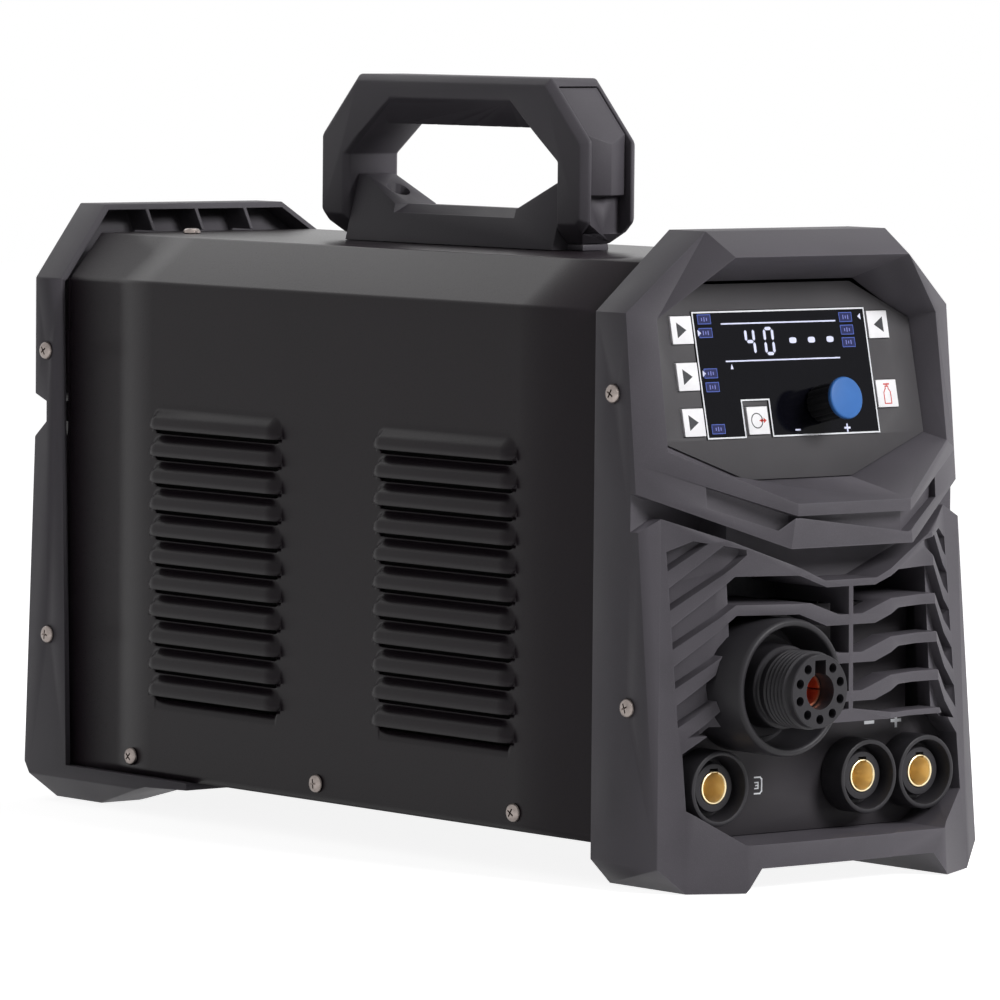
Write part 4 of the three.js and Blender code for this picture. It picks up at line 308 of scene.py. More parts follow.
def bare_metal(name, colour, roughness, streak=(1, 1, 1), dull=0.7):
    """Metal with tool marks drawn out by streak, and patches darker by dull."""
    finish = Finish(name, colour, roughness, metallic=1.0)
    cloud = finish.noise(4 * MM, 3)
    line = finish.noise(0.25 * MM, 2, streak)
    shade = finish.blend(finish.span(cloud, 0, 1), tinted(colour, dull), colour)
    finish.surface({"Base Color": shade, "Roughness": finish.span(line, roughness - 0.08, roughness + 0.12)})
    finish.bump(line, 0.008 * MM)
    return finish.material


def smooth_plastic(name, colour, roughness, specular=0.5, haze=0.05):
    """Plastic, print or lacquer without grain, with a little haze in its gloss."""
    finish = Finish(name, colour, roughness, specular=specular)
    cloud = finish.noise(9 * MM, 3)
    fine = finish.noise(0.3 * MM, 2)
    shade = finish.blend(finish.span(cloud, 0, 1), tinted(colour, 0.95), tinted(colour, 1.04))
    finish.surface({"Base Color": shade, "Roughness": finish.span(cloud, roughness, roughness + haze)})
    finish.bump(fine, 0.006 * MM)
    return finish.material


MATERIALS = {
    "frame": moulded_plastic("frame_plastic", (0.0725, 0.0668, 0.0772), specular=0.21),
    "sheet": powder_coat("powder_coat", (0.0148, 0.0106, 0.0140), 0.3, specular=0.15),
    "fascia": moulded_plastic(
        "fascia_overlay", (0.060, 0.057, 0.061), grain=0.25 * MM, depth=0.02 * MM, specular=0.2, worn=1.2),
    "glass": smooth_plastic("display_glass", (0.003, 0.003, 0.005), 0.08, 0.1, haze=0.03),
    "key": smooth_plastic("key_plastic", (0.84, 0.83, 0.85), 0.42, 0.3),
    "knob": moulded_plastic(
        "knob_plastic", (0.010, 0.010, 0.011), 0.45, grain=0.3 * MM, depth=0.02 * MM, specular=0.16),
    "blue": smooth_plastic("blue_plastic", (0.034, 0.135, 0.400), 0.4, 0.25),
    "bay": moulded_plastic("bay_plastic", (0.034, 0.031, 0.035), specular=0.16),
    "insulator": moulded_plastic(
        "insulator", (0.026, 0.0245, 0.028), 0.42, grain=0.5 * MM, depth=0.02 * MM, specular=0.2),
    "brass": bare_metal("brass", (0.98, 0.82, 0.52), 0.36, (1, 6, 1), dull=0.92),
    "copper": bare_metal("copper", (0.70, 0.25, 0.15), 0.34, (1, 6, 1)),
    "nickel": bare_metal("nickel", (0.33, 0.285, 0.265), 0.3),
    "zinc": bare_metal("zinc_sheet", (0.52, 0.53, 0.54), 0.38, (8, 1, 1)),
    # a dark metal for the plate behind the grille: painted shade for the inside seen through the grille
    "painted_shade_metal": bare_metal("painted_shade_metal", (0.035, 0.035, 0.038), 0.5, (8, 1, 1)),
    "aluminium": bare_metal("aluminium", (0.66, 0.67, 0.68), 0.36, (1, 8, 1)),
    "board": smooth_plastic("board_lacquer", (0.012, 0.07, 0.025), 0.35),
    "core": moulded_plastic("varnished_core", (0.09, 0.055, 0.04)),
    "rubber": moulded_plastic(
        "rubber", (0.012, 0.012, 0.012), 0.7, grain=0.6 * MM, depth=0.04 * MM, specular=0.15, worn=1.2),
    "white_print": smooth_plastic("white_print", (0.78, 0.79, 0.82), 0.5, 0.2),
    "grey_print": smooth_plastic("grey_print", (0.05, 0.05, 0.055), 0.5, 0.2),
    "red_print": smooth_plastic("red_print", (0.60, 0.06, 0.05), 0.5, 0.2),
    "blue_print": smooth_plastic("blue_print", (0.09, 0.14, 0.50), 0.5, 0.2),
    "navy_print": smooth_plastic("navy_print", (0.008, 0.012, 0.075), 0.4, 0.2),
    "lit_print": smooth_plastic("lit_print", (0.72, 0.74, 0.95), 0.5, 0.2),
    "pale_print": smooth_plastic("pale_print", (0.22, 0.24, 0.60), 0.5, 0.2),
}


def dress_nodes():
    """Gives each CAD node the material of its own slot; the plate behind the grille gets a dark metal instead
    of its zinc, as painted shade for the dark inside.
    """
    for name, node in frame["nodes"].items():
        for place in node.material_slots:
            place.material = MATERIALS[SLOT_OF[name]]
    # painted shade: the zinc plate behind the grille is made dark so that the inside looks black
    frame["nodes"]["inner_front_plate"].material_slots[0].material = MATERIALS["painted_shade_metal"]


# ---- mesh helpers
WELD = 1e-6  # vertices closer than this are one
CLOSED = 1e-4  # a radius in millimetres below this is a point on the axis


def placed(name, mesh, body):
    """An object of a mesh that rides on its body."""
    made = new_object(name, mesh)
    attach(made, body)
    return made


def turn_outward(mesh, weld=False):
    """Turns a mesh's faces outward; with weld, vertices that coincide are joined first."""
    work = bmesh.new()
    work.from_mesh(mesh)
    if weld:
        bmesh.ops.remove_doubles(work, verts=work.verts, dist=WELD)
    bmesh.ops.recalc_face_normals(work, faces=work.faces)
    work.to_mesh(mesh)
    work.free()


def adopt(name, mesh, slot, body=MAIN, *, sharp):
    """Makes a finished mesh into a piece, and keeps the edges above sharp degrees hard."""
    mesh.materials.clear()
    mesh.materials.append(MATERIALS[slot])
    turn_outward(mesh, weld=True)
    smooth(mesh, sharp)
    return placed(name, mesh, body)


def piece(name, verts, faces, slot, body=MAIN, *, sharp):
    return adopt(name, new_mesh(name, verts, faces), slot, body, sharp=sharp)


def smooth(mesh, sharp):
    for face in mesh.polygons:
        face.use_smooth = True
    mesh.set_sharp_from_angle(angle=math.radians(sharp))


def loose_mesh(name, verts, faces):
    """A closed mesh with its faces outward, for cuts or changes before it is placed."""
    mesh = new_mesh(name, verts, faces)
    turn_outward(mesh)
    return mesh


def rounded(points, radius, steps):
    """An open line with its inner corners rounded."""
    points = [Vector(point) for point in points]
    result = points[:1]
    for before, corner, after in zip(points, points[1:], points[2:]):
        into, away = (before - corner).normalized(), (after - corner).normalized()
        longest = min((before - corner).length, (after - corner).length) * 0.49
        reach = min(radius / math.tan(into.angle(away) / 2), longest)
        start, end = corner + into * reach, corner + away * reach
        for i in range(steps + 1):
            t = i / steps
            result.append(start * (1 - t) ** 2 + corner * 2 * t * (1 - t) + end * t * t)
    return result + points[-1:]


def turns(count):
    """The angles of a full turn's even steps."""
    return [2 * math.pi * i / count for i in range(count)]


def revolved(rows, sides, ends=False):
    """Points (across, depth, up) and faces of rows turned about a line along Y.

    A row is (radius, depth), and its radius is one number or a list with one for each side. Sides
    count from the top. With ends, the first and last rows are closed by flat faces.
    """
    points, rings = [], []
    for radius, depth in rows:
        radii = radius if isinstance(radius, list) else [radius] * sides
        if radii[0] < CLOSED:
            rings.append([len(points)])
            points.append((0, depth, 0))
            continue
        rings.append(list(range(len(points), len(points) + sides)))
        for reach, turn in zip(radii, turns(sides)):
            points.append((reach * math.sin(turn), depth, reach * math.cos(turn)))
    faces = []
    for lower, upper in zip(rings, rings[1:]):
        for i in range(sides):
            ring = [lower[i % len(lower)], lower[(i + 1) % len(lower)],
                    upper[(i + 1) % len(upper)], upper[i % len(upper)]]
            face = [v for n, v in enumerate(ring) if v != ring[n - 1]]
            if len(face) > 2:
                faces.append(face)
    if ends:
        faces += [rings[0], list(reversed(rings[-1]))]
    return points, faces


def around(centre, points):
    """The places in metres of turned points, about a centre (x, z)."""
    return [at(centre[0] + across, depth, centre[1] + up) for across, depth, up in points]


def cut_from(target, cutter_mesh):
    """Cuts a mesh out of an object, and applies the cut."""
    cutter = new_object("cutter", cutter_mesh)
    modifier = target.modifiers.new("cut", "BOOLEAN")
    modifier.operation = "DIFFERENCE"
    modifier.solver = "EXACT"
    modifier.object = cutter
    graph = bpy.context.evaluated_depsgraph_get()
    result = bpy.data.meshes.new_from_object(target.evaluated_get(graph))
    target.modifiers.clear()
    target.data = result
    bpy.data.objects.remove(cutter)


def settle(made, sharp):
    """Puts a piece's own material and smoothing back after a cut."""
    finish = made.data.materials[0]
    for face in made.data.polygons:
        face.material_index = 0
    while len(made.data.materials) > 1:
        made.data.materials.pop()
    made.data.materials[0] = finish
    smooth(made.data, sharp)


def turned_piece(name, rows, centre, slot, sides, *, sharp=38, ends=False, cuts=()):
    """A piece turned about a line along Y, in millimetres of the part, with holes cut through it."""
    points, faces = revolved(rows, sides, ends)
    made = piece(name, around(centre, points), faces, slot, sharp=sharp)
    for cutter in cuts:
        cut_from(made, cutter)
    if cuts:
        settle(made, sharp)
    return made


def prism(outline, rear, front):
    """A closed prism of an outline (x, z) between two depths, in millimetres of the part."""
    verts = [at(x, y, z) for y in (front, rear) for x, z in outline]
    return loose_mesh("cutter", verts, prism_faces(len(outline)))


def prism_faces(count):
    """The faces of a prism whose ends have count corners each."""
    faces = [list(range(count)), list(range(2 * count - 1, count - 1, -1))]
    return faces + [(i, (i + 1) % count, count + (i + 1) % count, count + i) for i in range(count)]


def circle(x, z, radius, count=40):
    return [(x + radius * math.sin(turn), z + radius * math.cos(turn)) for turn in turns(count)]


def rectangle(x0, x1, z0, z1):
    return [(x0, z0), (x1, z0), (x1, z1), (x0, z1)]


def cross(x, z, reach, half):
    """The outline of a plus sign, from its middle, its arms' reach and half their width."""
    return [(x - half, z + reach), (x + half, z + reach), (x + half, z + half), (x + reach, z + half),
            (x + reach, z - half), (x + half, z - half), (x + half, z - reach), (x - half, z - reach),
            (x - half, z - half), (x - reach, z - half), (x - reach, z + half), (x - half, z + half)]


SOFT_ANGLE = 20  # creases flatter than this many degrees stay as they are
SOFT_SHORT = 1.6  # edges shorter than this many widths stay sharp
FLAT_ANGLE = 0.6  # faces within this many degrees of each other become one flat face
MESH_WELD = 2e-6  # a node's vertices closer than this are one


def softened(node, width, least_angle=SOFT_ANGLE, segments=2):
    """A copy of a CAD node with its long edges rounded, which stands for the node."""
    work = bmesh.new()
    work.from_mesh(frame["nodes"][node].data)
    bmesh.ops.remove_doubles(work, verts=work.verts, dist=MESH_WELD)
    bmesh.ops.dissolve_limit(work, angle_limit=math.radians(FLAT_ANGLE), verts=work.verts, edges=work.edges)
    short = {v for e in work.edges if e.calc_length() < width * SOFT_SHORT for v in e.verts}
    chosen = [e for e in work.edges if len(e.link_faces) == 2 and not (set(e.verts) & short)
              and e.calc_face_angle(0) > math.radians(least_angle)]
    bmesh.ops.bevel(work, geom=chosen, offset=width, offset_type="OFFSET", segments=segments, profile=0.5,
                    affect="EDGES", clamp_overlap=True)
    mesh = bpy.data.meshes.new(node)
    work.to_mesh(mesh)
    work.free()
    made = adopt(f"{node}_shell", mesh, SLOT_OF[node], body_of(node), sharp=40)
    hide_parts(node)


# ---- case cover
LOUVRE_COUNT = 11
LOUVRE_PITCH = 13.3 * MM
LOUVRE_LOWEST = 60.4 * MM
LOUVRE_LENGTH = 106 * MM
LOUVRE_HEIGHT = 10.6 * MM
LOUVRE_BULGE = 4.9 * MM
LOUVRE_SLOT = 2.1 * MM  # the open slot in the sheet under each hood
LOUVRE_END = 8 * MM
END_POWER = 0.7  # below 1, the ends fall away steeply
LOUVRE_CENTRES = (94 * MM + FORWARD_SHIFT, -86 * MM + FORWARD_SHIFT)
LOUVRE_FACE = 0.5  # the share of a hood's height that stands upright
LOUVRE_LEAN = 0.06  # the share of its bulge that it loses there
LOUVRE_STEPS = (0, 0.25, 0.46, 0.53, 0.6, 0.7, 0.8, 0.89, 0.96, 1)
LOUVRE_BORDER = 0.5 * MM  # flat sheet close round a louvre, which keeps its shading off the plain sheet
END_COLUMNS = 8
SLOT_INTO_END = 0.4  # the share of a hood's end that its slot stops short of
SKIRT_ROWS = (CASE_LOW, CASE_LOW + 4 * MM, LOUVRE_LOWEST - 8 * MM)
FOLD_START = 14 * MM  # flat sheet above the louvres, below the first fold
FOLD_RADIUS = 3.2 * MM
FOLD_STEPS = 6


def louvre_push(y, height):
    """How far the sheet is pressed out at a place on its louvres."""
    for centre in LOUVRE_CENTRES:
        aside = abs(y - centre) - (LOUVRE_LENGTH / 2 - LOUVRE_END)
        if aside >= LOUVRE_END:
            continue
        end = math.sqrt(max(0.0, 1 - (max(0.0, aside) / LOUVRE_END) ** 2))
        tall = height / (LOUVRE_HEIGHT * max(end, 1e-3))
        if tall >= 1:
            continue
        bulge = LOUVRE_BULGE * end ** END_POWER
        if tall < LOUVRE_FACE:
            return bulge * (1 - LOUVRE_LEAN * tall / LOUVRE_FACE)
        t = (tall - LOUVRE_FACE) / (1 - LOUVRE_FACE)
        return bulge * (1 - LOUVRE_LEAN) * (1 - (t + t * t * (3 - 2 * t)) / 2)
    return 0.0


def in_louvre_slot(y, z):
    """Whether a place on the side lies in the open slot under a hood."""
    above = (z - LOUVRE_LOWEST) % LOUVRE_PITCH
    within = LOUVRE_LOWEST - LOUVRE_PITCH < z < LOUVRE_LOWEST + (LOUVRE_COUNT - 1) * LOUVRE_PITCH
    reach = LOUVRE_LENGTH / 2 - LOUVRE_END * SLOT_INTO_END
    return within and above > LOUVRE_PITCH - LOUVRE_SLOT and any(abs(y - c) < reach for c in LOUVRE_CENTRES)


def case_rows():
    """The side of the cover from its lower edge up to the fold, as (height, distance up the louvre)."""
    rows = [(z, None) for z in SKIRT_ROWS]
    for i in range(LOUVRE_COUNT):
        low = LOUVRE_LOWEST + i * LOUVRE_PITCH
        rows += [(low - LOUVRE_SLOT, None), (low, None)]
        rows += [(low + LOUVRE_HEIGHT * step, LOUVRE_HEIGHT * step) for step in LOUVRE_STEPS]
    rows.append((low + LOUVRE_PITCH, None))
    return rows


def case_columns(front, rear):
    """The depths of the cover's columns, which gather at the round ends of the louvres."""
    columns = [front, rear]
    for centre in LOUVRE_CENTRES:
        for side in (-1, 1):
            for i in range(END_COLUMNS + 1):
                out = LOUVRE_END * math.sin(math.pi / 2 * i / END_COLUMNS)
                columns.append(centre + side * (LOUVRE_LENGTH / 2 - LOUVRE_END + out))
            columns.append(centre + side * (LOUVRE_LENGTH / 2 + LOUVRE_BORDER))
        columns.append(centre)
    return sorted(set(columns))


def make_case_cover():
    columns = case_columns(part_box("case_cover")[0].y, COVER_REAR)
    fold_low = CASE_TOP - CHAMFER_DROP
    corners = [(CASE_HALF, fold_low - FOLD_START), (CASE_HALF, fold_low), (CASE_HALF - CHAMFER_IN, CASE_TOP),
               (0, CASE_TOP)]
    fold = rounded(corners, FOLD_RADIUS, FOLD_STEPS)
    section = [(CASE_HALF, z, push) for z, push in case_rows()]
    section += [(p[0], p[1], None) for p in fold]
    section += [(-x, z, push) for x, z, push in reversed(section[:-1])]
    verts, faces = [], []
    for x, z, push in section:
        for y in columns:
            out = 0.0 if push is None else louvre_push(y, push) * (1 if x > 0 else -1)
            lean = max(0.0, z - fold_low) / CHAMFER_DROP * COVER_TOP_SET
            verts.append((x + out, y + (lean if y == COVER_REAR else 0.0), z))
    count = len(columns)
    for row, (lower, upper) in enumerate(zip(section, section[1:])):
        if lower[:2] == upper[:2]:
            continue  # the lanced line under a louvre
        for column in range(count - 1):
            if in_louvre_slot((columns[column] + columns[column + 1]) / 2, (lower[1] + upper[1]) / 2):
                continue
            a = row * count + column
            faces.append((a, a + 1, a + 1 + count, a + count))
    cover = piece("case_cover_sheet", verts, faces, "sheet", sharp=50)
    thick = cover.modifiers.new("sheet", "SOLIDIFY")
    thick.thickness = SHEET
    thick.offset = -1
    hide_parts("case_cover")


# painted shade: folded dark sheets behind the louvres stand in for the shade inside the case
SHADE_SHEET_FOLDS = 26
SHADE_SHEET_DEPTH = 2.6 * MM
SHADE_SHEET_THICK = 0.5 * MM
SHADE_SHEET_PLACE = 93 * MM
SHADE_SHEET_LAP = 1 * MM  # the dark shade sheet reaches this far past the louvres
SHADE_SHEET_BELOW = 5 * MM


def make_vent_shade_sheets():
    """A folded dark sheet stands behind each group of louvres, inside the case: painted shade that makes the
    open slots read black.
    """
    low = LOUVRE_LOWEST - SHADE_SHEET_BELOW
    high = LOUVRE_LOWEST + LOUVRE_COUNT * LOUVRE_PITCH + SHADE_SHEET_LAP
    for side, side_name in ((-1, "left"), (1, "right")):
        for centre, group in zip(LOUVRE_CENTRES, ("rear", "front")):
            folds = []
            for i in range(2 * SHADE_SHEET_FOLDS + 1):
                y = centre + (i / SHADE_SHEET_FOLDS - 1) * (LOUVRE_LENGTH / 2 + SHADE_SHEET_LAP)
                folds.append((SHADE_SHEET_PLACE - SHADE_SHEET_DEPTH * (i % 2), y))
            outline = folds + [(x - SHADE_SHEET_THICK, y) for x, y in reversed(folds)]
            count = len(outline)
            verts = [(side * x, y, z) for z in (low, high) for x, y in outline]
            faces = prism_faces(count)[2:]  # without the ends, which are closed fold by fold
            for i in range(len(folds) - 1):
                ring = (i, i + 1, count - 2 - i, count - 1 - i)
                faces += [ring, tuple(count + v for v in reversed(ring))]
            # the dark rubber finish of these sheets is painted shade for the inside seen through the slots
            piece(f"vent_shade_sheet_{side_name}_{group}", verts, faces, "rubber", sharp=20)


# ---- torch connector
TORCH = (-40.0, 94.0)
FRONT_OF_ALL = -292.0  # cutters for the connector start here, clear of its nose
SHROUD_PROFILE = [
    (20.35, -235.8), (32.0, -235.8), (32.0, -269.3), (31.6, -270.6), (30.9, -271.3), (30.1, -271.5),
    (29.2, -271.3), (28.6, -270.7), (28.3, -269.8), (28.3, -246.0), (20.35, -246.0), (20.35, -235.8)]
CONNECTOR_BODY = [
    (0, -222.0), (19.6, -222.0), (20, -222.4), (20, -246.3), (23.6, -246.3), (24, -246.7), (24, -252.0),
    (23.6, -252.6), (20.6, -252.8), (19.6, -253.4), (19.5, -266.6), (19.1, -267.2), (17.6, -267.4),
    (17.1, -268.0)]
CONNECTOR_NOSE = [(17.1, -287.6), (17.1, -290.3), (16.7, -290.9), (16.2, -291), (0, -291)]
TORCH_SIDES = 96
THREAD_PITCH = 2.6
THREAD_REAR = -270.0
THREAD_FRONT = -286.8
THREAD_ROOT = 17.1
THREAD_DEPTH = 1.05
THREAD_FADE = 1.2  # the thread rises over this length at each end
THREAD_CREST = 1.5  # above 1, the crests are flat
THREAD_STEPS = 9  # rows for each pitch
TORCH_BORE = 8.4
BORE_END = -261.0
KEYWAY_HALF = 3.3
KEYWAY_LOW, KEYWAY_HIGH = 4.0, 14.4
KEYWAY_END = -267.0
PIN_PLACES = 10  # the keyway takes the first of them
PIN_CIRCLE = 12.9
PIN_RADIUS = 2.25
PIN_END = -277.0
CONTACT_PROFILE = [(6.6, -281.6), (6.9, -282.2), (7.8, -282.2), (8.1, -281.9), (8.1, -261.6), (0, -261.6),
                   (0, -264.6), (6.6, -264.6), (6.6, -281.6)]
SLIT_HALF = 0.4
SLIT_REACH = 20.0
SLIT_REAR, SLIT_FRONT = -269.0, -287.0


def thread_radius(y, turn):
    """The radius of the thread at a depth, for a part of a turn."""
    if not THREAD_FRONT < y < THREAD_REAR:
        return THREAD_ROOT
    fade = min(1.0, (y - THREAD_FRONT) / THREAD_FADE, (THREAD_REAR - y) / THREAD_FADE)
    phase = ((y - THREAD_FRONT) / THREAD_PITCH + turn) % 1.0
    crest = 1 - abs(2 * phase - 1)
    return THREAD_ROOT + THREAD_DEPTH * fade * min(1.0, THREAD_CREST * crest)


def thread_rows():
    """Rows of the threaded stretch, from just behind the thread to just before it."""
    rows = []
    y = THREAD_REAR + 1.0
    while y > THREAD_FRONT - 0.6:
        rows.append(([thread_radius(y, i / TORCH_SIDES) for i in range(TORCH_SIDES)], y))
        y -= THREAD_PITCH / THREAD_STEPS
    return rows


def make_torch_connector():
    shroud = turned_piece("torch_shroud_ring", SHROUD_PROFILE, TORCH, "insulator", 128)
    x, z = TORCH
    keyway = rectangle(x - KEYWAY_HALF, x + KEYWAY_HALF, z + KEYWAY_LOW, z + KEYWAY_HIGH)
    cuts = [prism(circle(x, z, TORCH_BORE, 64), BORE_END, FRONT_OF_ALL),
            prism(keyway, KEYWAY_END, FRONT_OF_ALL)]
    for pin in circle(x, z, PIN_CIRCLE, PIN_PLACES)[1:]:
        cuts.append(prism(circle(*pin, PIN_RADIUS, 28), PIN_END, FRONT_OF_ALL))
    made = turned_piece("torch_connector_body", CONNECTOR_BODY + thread_rows() + CONNECTOR_NOSE, TORCH,
                        "insulator", TORCH_SIDES, sharp=30, cuts=cuts)
    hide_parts("torch_connector")
    slits = [rectangle(x - SLIT_REACH, x + SLIT_REACH, z - SLIT_HALF, z + SLIT_HALF),
             rectangle(x - SLIT_HALF, x + SLIT_HALF, z - SLIT_REACH, z + SLIT_REACH)]
    contact = turned_piece("torch_contact_sleeve", CONTACT_PROFILE, TORCH, "copper", 64,
                           cuts=[prism(slit, SLIT_REAR, SLIT_FRONT) for slit in slits])
    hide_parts("torch_contact")
    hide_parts("torch_shroud")


# ---- cable sockets
SOCKETS = {"left": -64.4, "middle": 28.0, "right": 64.4}
SOCKET_Z = 47.0
SOCKET_FRONT = -247.0  # cutters for a socket start here
SOCKET_SHELL = [
    (8.0, -209.0), (11.6, -210.0), (12, -210.4), (12, -235.8), (17.2, -235.8), (17.6, -236.2), (17.6, -249.4),
    (17.3, -250.1), (16.7, -250.4), (15.9, -250.4), (15.4, -250.2), (15.1, -249.6), (14.4, -238.8),
    (13.9, -238.4), (12.2, -238.4), (11.6, -239.0), (11.5, -244.7), (11.1, -245.3), (10.6, -245.4),
    (8.0, -245.4), (8.0, -209.0)]
SOCKET_BRASS = [
    (6.5, -245.3), (6.75, -245.8), (7.0, -246.0), (7.35, -246.0), (7.6, -245.85), (7.7, -245.5),
    (7.7, -206.0), (0, -206.0), (0, -220.0), (6.5, -220.0), (6.5, -245.3)]
SHELL_NOTCH = (2.5, 8.9, -238.4)  # half width, top and depth of the notch for a plug's lug
BRASS_NOTCH = (2.1, 7.15, -232.0)


def socket_notch(x, half, top, rear):
    return prism(rectangle(x - half, x + half, SOCKET_Z, SOCKET_Z + top), rear, SOCKET_FRONT)


def make_sockets():
    for side, x in SOCKETS.items():
        place = (x, SOCKET_Z)
        notch = [socket_notch(x, *SHELL_NOTCH)]
        shell = turned_piece(f"socket_{side}_shell", SOCKET_SHELL, place, "insulator", 96, cuts=notch)
        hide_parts(f"socket_body_{side}")
        notch = [socket_notch(x, *BRASS_NOTCH)]
        brass = turned_piece(f"socket_{side}_brass", SOCKET_BRASS, place, "brass", 64, cuts=notch)
        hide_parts(f"socket_contact_{side}")


# ---- knob
KNOB = (17.4, 220.0)
KNOB_BACK_OUT = 3.6
KNOB_LENGTH = 16.5
KNOB_PROFILE = [(8.2, 0.0), (8.7, 0.4), (8.8, 1.2), (8.8, KNOB_LENGTH - 1.4), (8.5, KNOB_LENGTH - 0.5),
                (7.9, KNOB_LENGTH)]
KNOB_BORE = 3.3
BORE_DEPTH = 14.1
KNOB_RIBS = 14
KNOB_SIDES = 12 * KNOB_RIBS
FLUTE_DEPTH = 0.75
FLUTE_WIDTH = 1.9  # the larger, the narrower a flute
FLUTE_POWER = 0.6  # below 1, a flute's sides are steep
FLUTE_AT_ENDS = 0.2  # the share of a flute's depth at the knob's two ends
CAP_GAP = 0.3
CAP_PROFILE = [(0, 0), (9.5, 0), (9.85, 0.12), (10, 0.5), (10, 1.5), (9.8, 2.0), (9.4, 2.3), (8.9, 2.4),
               (0, 2.5)]
LEAN_TURN = Matrix.Rotation(-math.atan(FASCIA_LEAN), 4, "X")


def leaning(x, z, points):
    """Points given as (across, out, up) in millimetres from a place on the fascia."""
    base = Matrix.Translation(on_fascia(x, z)) @ LEAN_TURN
    return [base @ Vector((across * MM, -out * MM, up * MM)) for across, out, up in points]


def fluted(radius, depth_share):
    """The radius of the knob's grip for each of its sides."""
    radii = []
    for i in range(KNOB_SIDES):
        turn = i * KNOB_RIBS / KNOB_SIDES % 1
        flute = max(0.0, 1 - abs(2 * turn - 1) * FLUTE_WIDTH) ** FLUTE_POWER
        radii.append(radius - FLUTE_DEPTH * flute * depth_share)
    return radii


def make_knob():
    rows = [(KNOB_BORE, KNOB_BACK_OUT + BORE_DEPTH), (KNOB_BORE, KNOB_BACK_OUT)]
    for radius, out in KNOB_PROFILE:
        share = FLUTE_AT_ENDS if out in (0.0, KNOB_LENGTH) else 1.0
        rows.append((fluted(radius, share), KNOB_BACK_OUT + out))
    points, faces = revolved(rows, KNOB_SIDES, ends=True)
    grip = piece("knob_grip", leaning(*KNOB, points), faces, "knob", "knob", sharp=35)
    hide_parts("knob")
    cap_out = KNOB_BACK_OUT + KNOB_LENGTH + CAP_GAP
    points, faces = revolved([(radius, cap_out + out) for radius, out in CAP_PROFILE], 96)
    cap = piece("knob_cap_disc", leaning(*KNOB, points), faces, "blue", "knob", sharp=40)
    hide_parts("knob_cap")


# ---- screws
HEAD_HEIGHT = 2.4
SCREW_HEAD = [(0, -HEAD_HEIGHT), (2.2, -2.38), (3.3, -2.15), (4.0, -1.6), (4.38, -0.9), (4.5, -0.2), (4.4, 0),
              (2.0, 0)]
SHANK_RADIUS = 2.0
RECESS_REACH = 2.5
RECESS_HALF = 0.42
RECESS_TAPER = 0.55  # the share of its reach that the recess keeps at its floor
RECESS_START, RECESS_FLOOR = -2.6, -0.7
FIRST_SPIN, NEXT_SPIN = 0.3, 0.9  # so that no two recesses stand alike
PLINTH_SCREW_Z = 303.2
PLINTH_SCREW_Y = {"front": 11.5 - 61, "rear": 11.5 + 61}
PLINTH_SCREW_LENGTH = 4


def screw_mesh(length):
    """A screw along Y with its head forward and a cross recess, from the head's underside."""
    shank = [(SHANK_RADIUS, length - 1.5), (0.3, length), (0, length)]
    points, faces = revolved(SCREW_HEAD + shank, 40)
    holder = new_object("screw", loose_mesh("screw", [Vector(p) * MM for p in points], faces))
    mouth = cross(0, 0, RECESS_REACH, RECESS_HALF)
    floor = cross(0, 0, RECESS_REACH * RECESS_TAPER, RECESS_HALF)
    verts = [(x * MM, RECESS_START * MM, z * MM) for x, z in mouth]
    verts += [(x * MM, RECESS_FLOOR * MM, z * MM) for x, z in floor]
    cut_from(holder, loose_mesh("cutter", verts, prism_faces(len(mouth))))
    mesh = holder.data
    bpy.data.objects.remove(holder)
    return mesh


def place_screw(name, head_base, turn, length):
    mesh = screw_mesh(length)
    mesh.transform(Matrix.Translation(head_base) @ turn)
    return adopt(name, mesh, "nickel", sharp=28)


def make_screws():
    downward = Matrix.Rotation(-math.pi / 2, 4, "X")
    spin = FIRST_SPIN
    for node in sorted(name for name in frame["nodes"] if name.startswith("screw_")):
        low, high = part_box(node)
        centre = (low + high) / 2
        spin += NEXT_SPIN
        if node == "screw_top":
            base = Vector((centre.x, centre.y, high.z - HEAD_HEIGHT * MM))
            turn, length = downward, (high.z - low.z) / MM - HEAD_HEIGHT
        else:
            side = 1 if centre.x > 0 else -1
            face = (high.x if side > 0 else low.x) - side * HEAD_HEIGHT * MM
            base = Vector((face, centre.y, centre.z))
            turn, length = Matrix.Rotation(side * math.pi / 2, 4, "Z"), (high.x - low.x) / MM - HEAD_HEIGHT
        made = place_screw(f"{node}_head", base, turn @ Matrix.Rotation(spin, 4, "Y"), length)
        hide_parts(node)
    for name, y in PLINTH_SCREW_Y.items():
        place_screw(f"plinth_screw_{name}", at(0, y, PLINTH_SCREW_Z), downward, PLINTH_SCREW_LENGTH)


# ---- prints on the panel and its keys
PRINT_SUNK = 0.05  # a print's back lies this far under the face that it is on
LINE_STEP = 0.015  # stretches of one line differ by this in height, so that no faces coincide


def line_halves(a, b, width):
    """Half the width of a line from a to b, as a vector along it and one across it."""
    along = (b - a).normalized() * width / 2
    return along, Vector((-along.y, along.x))


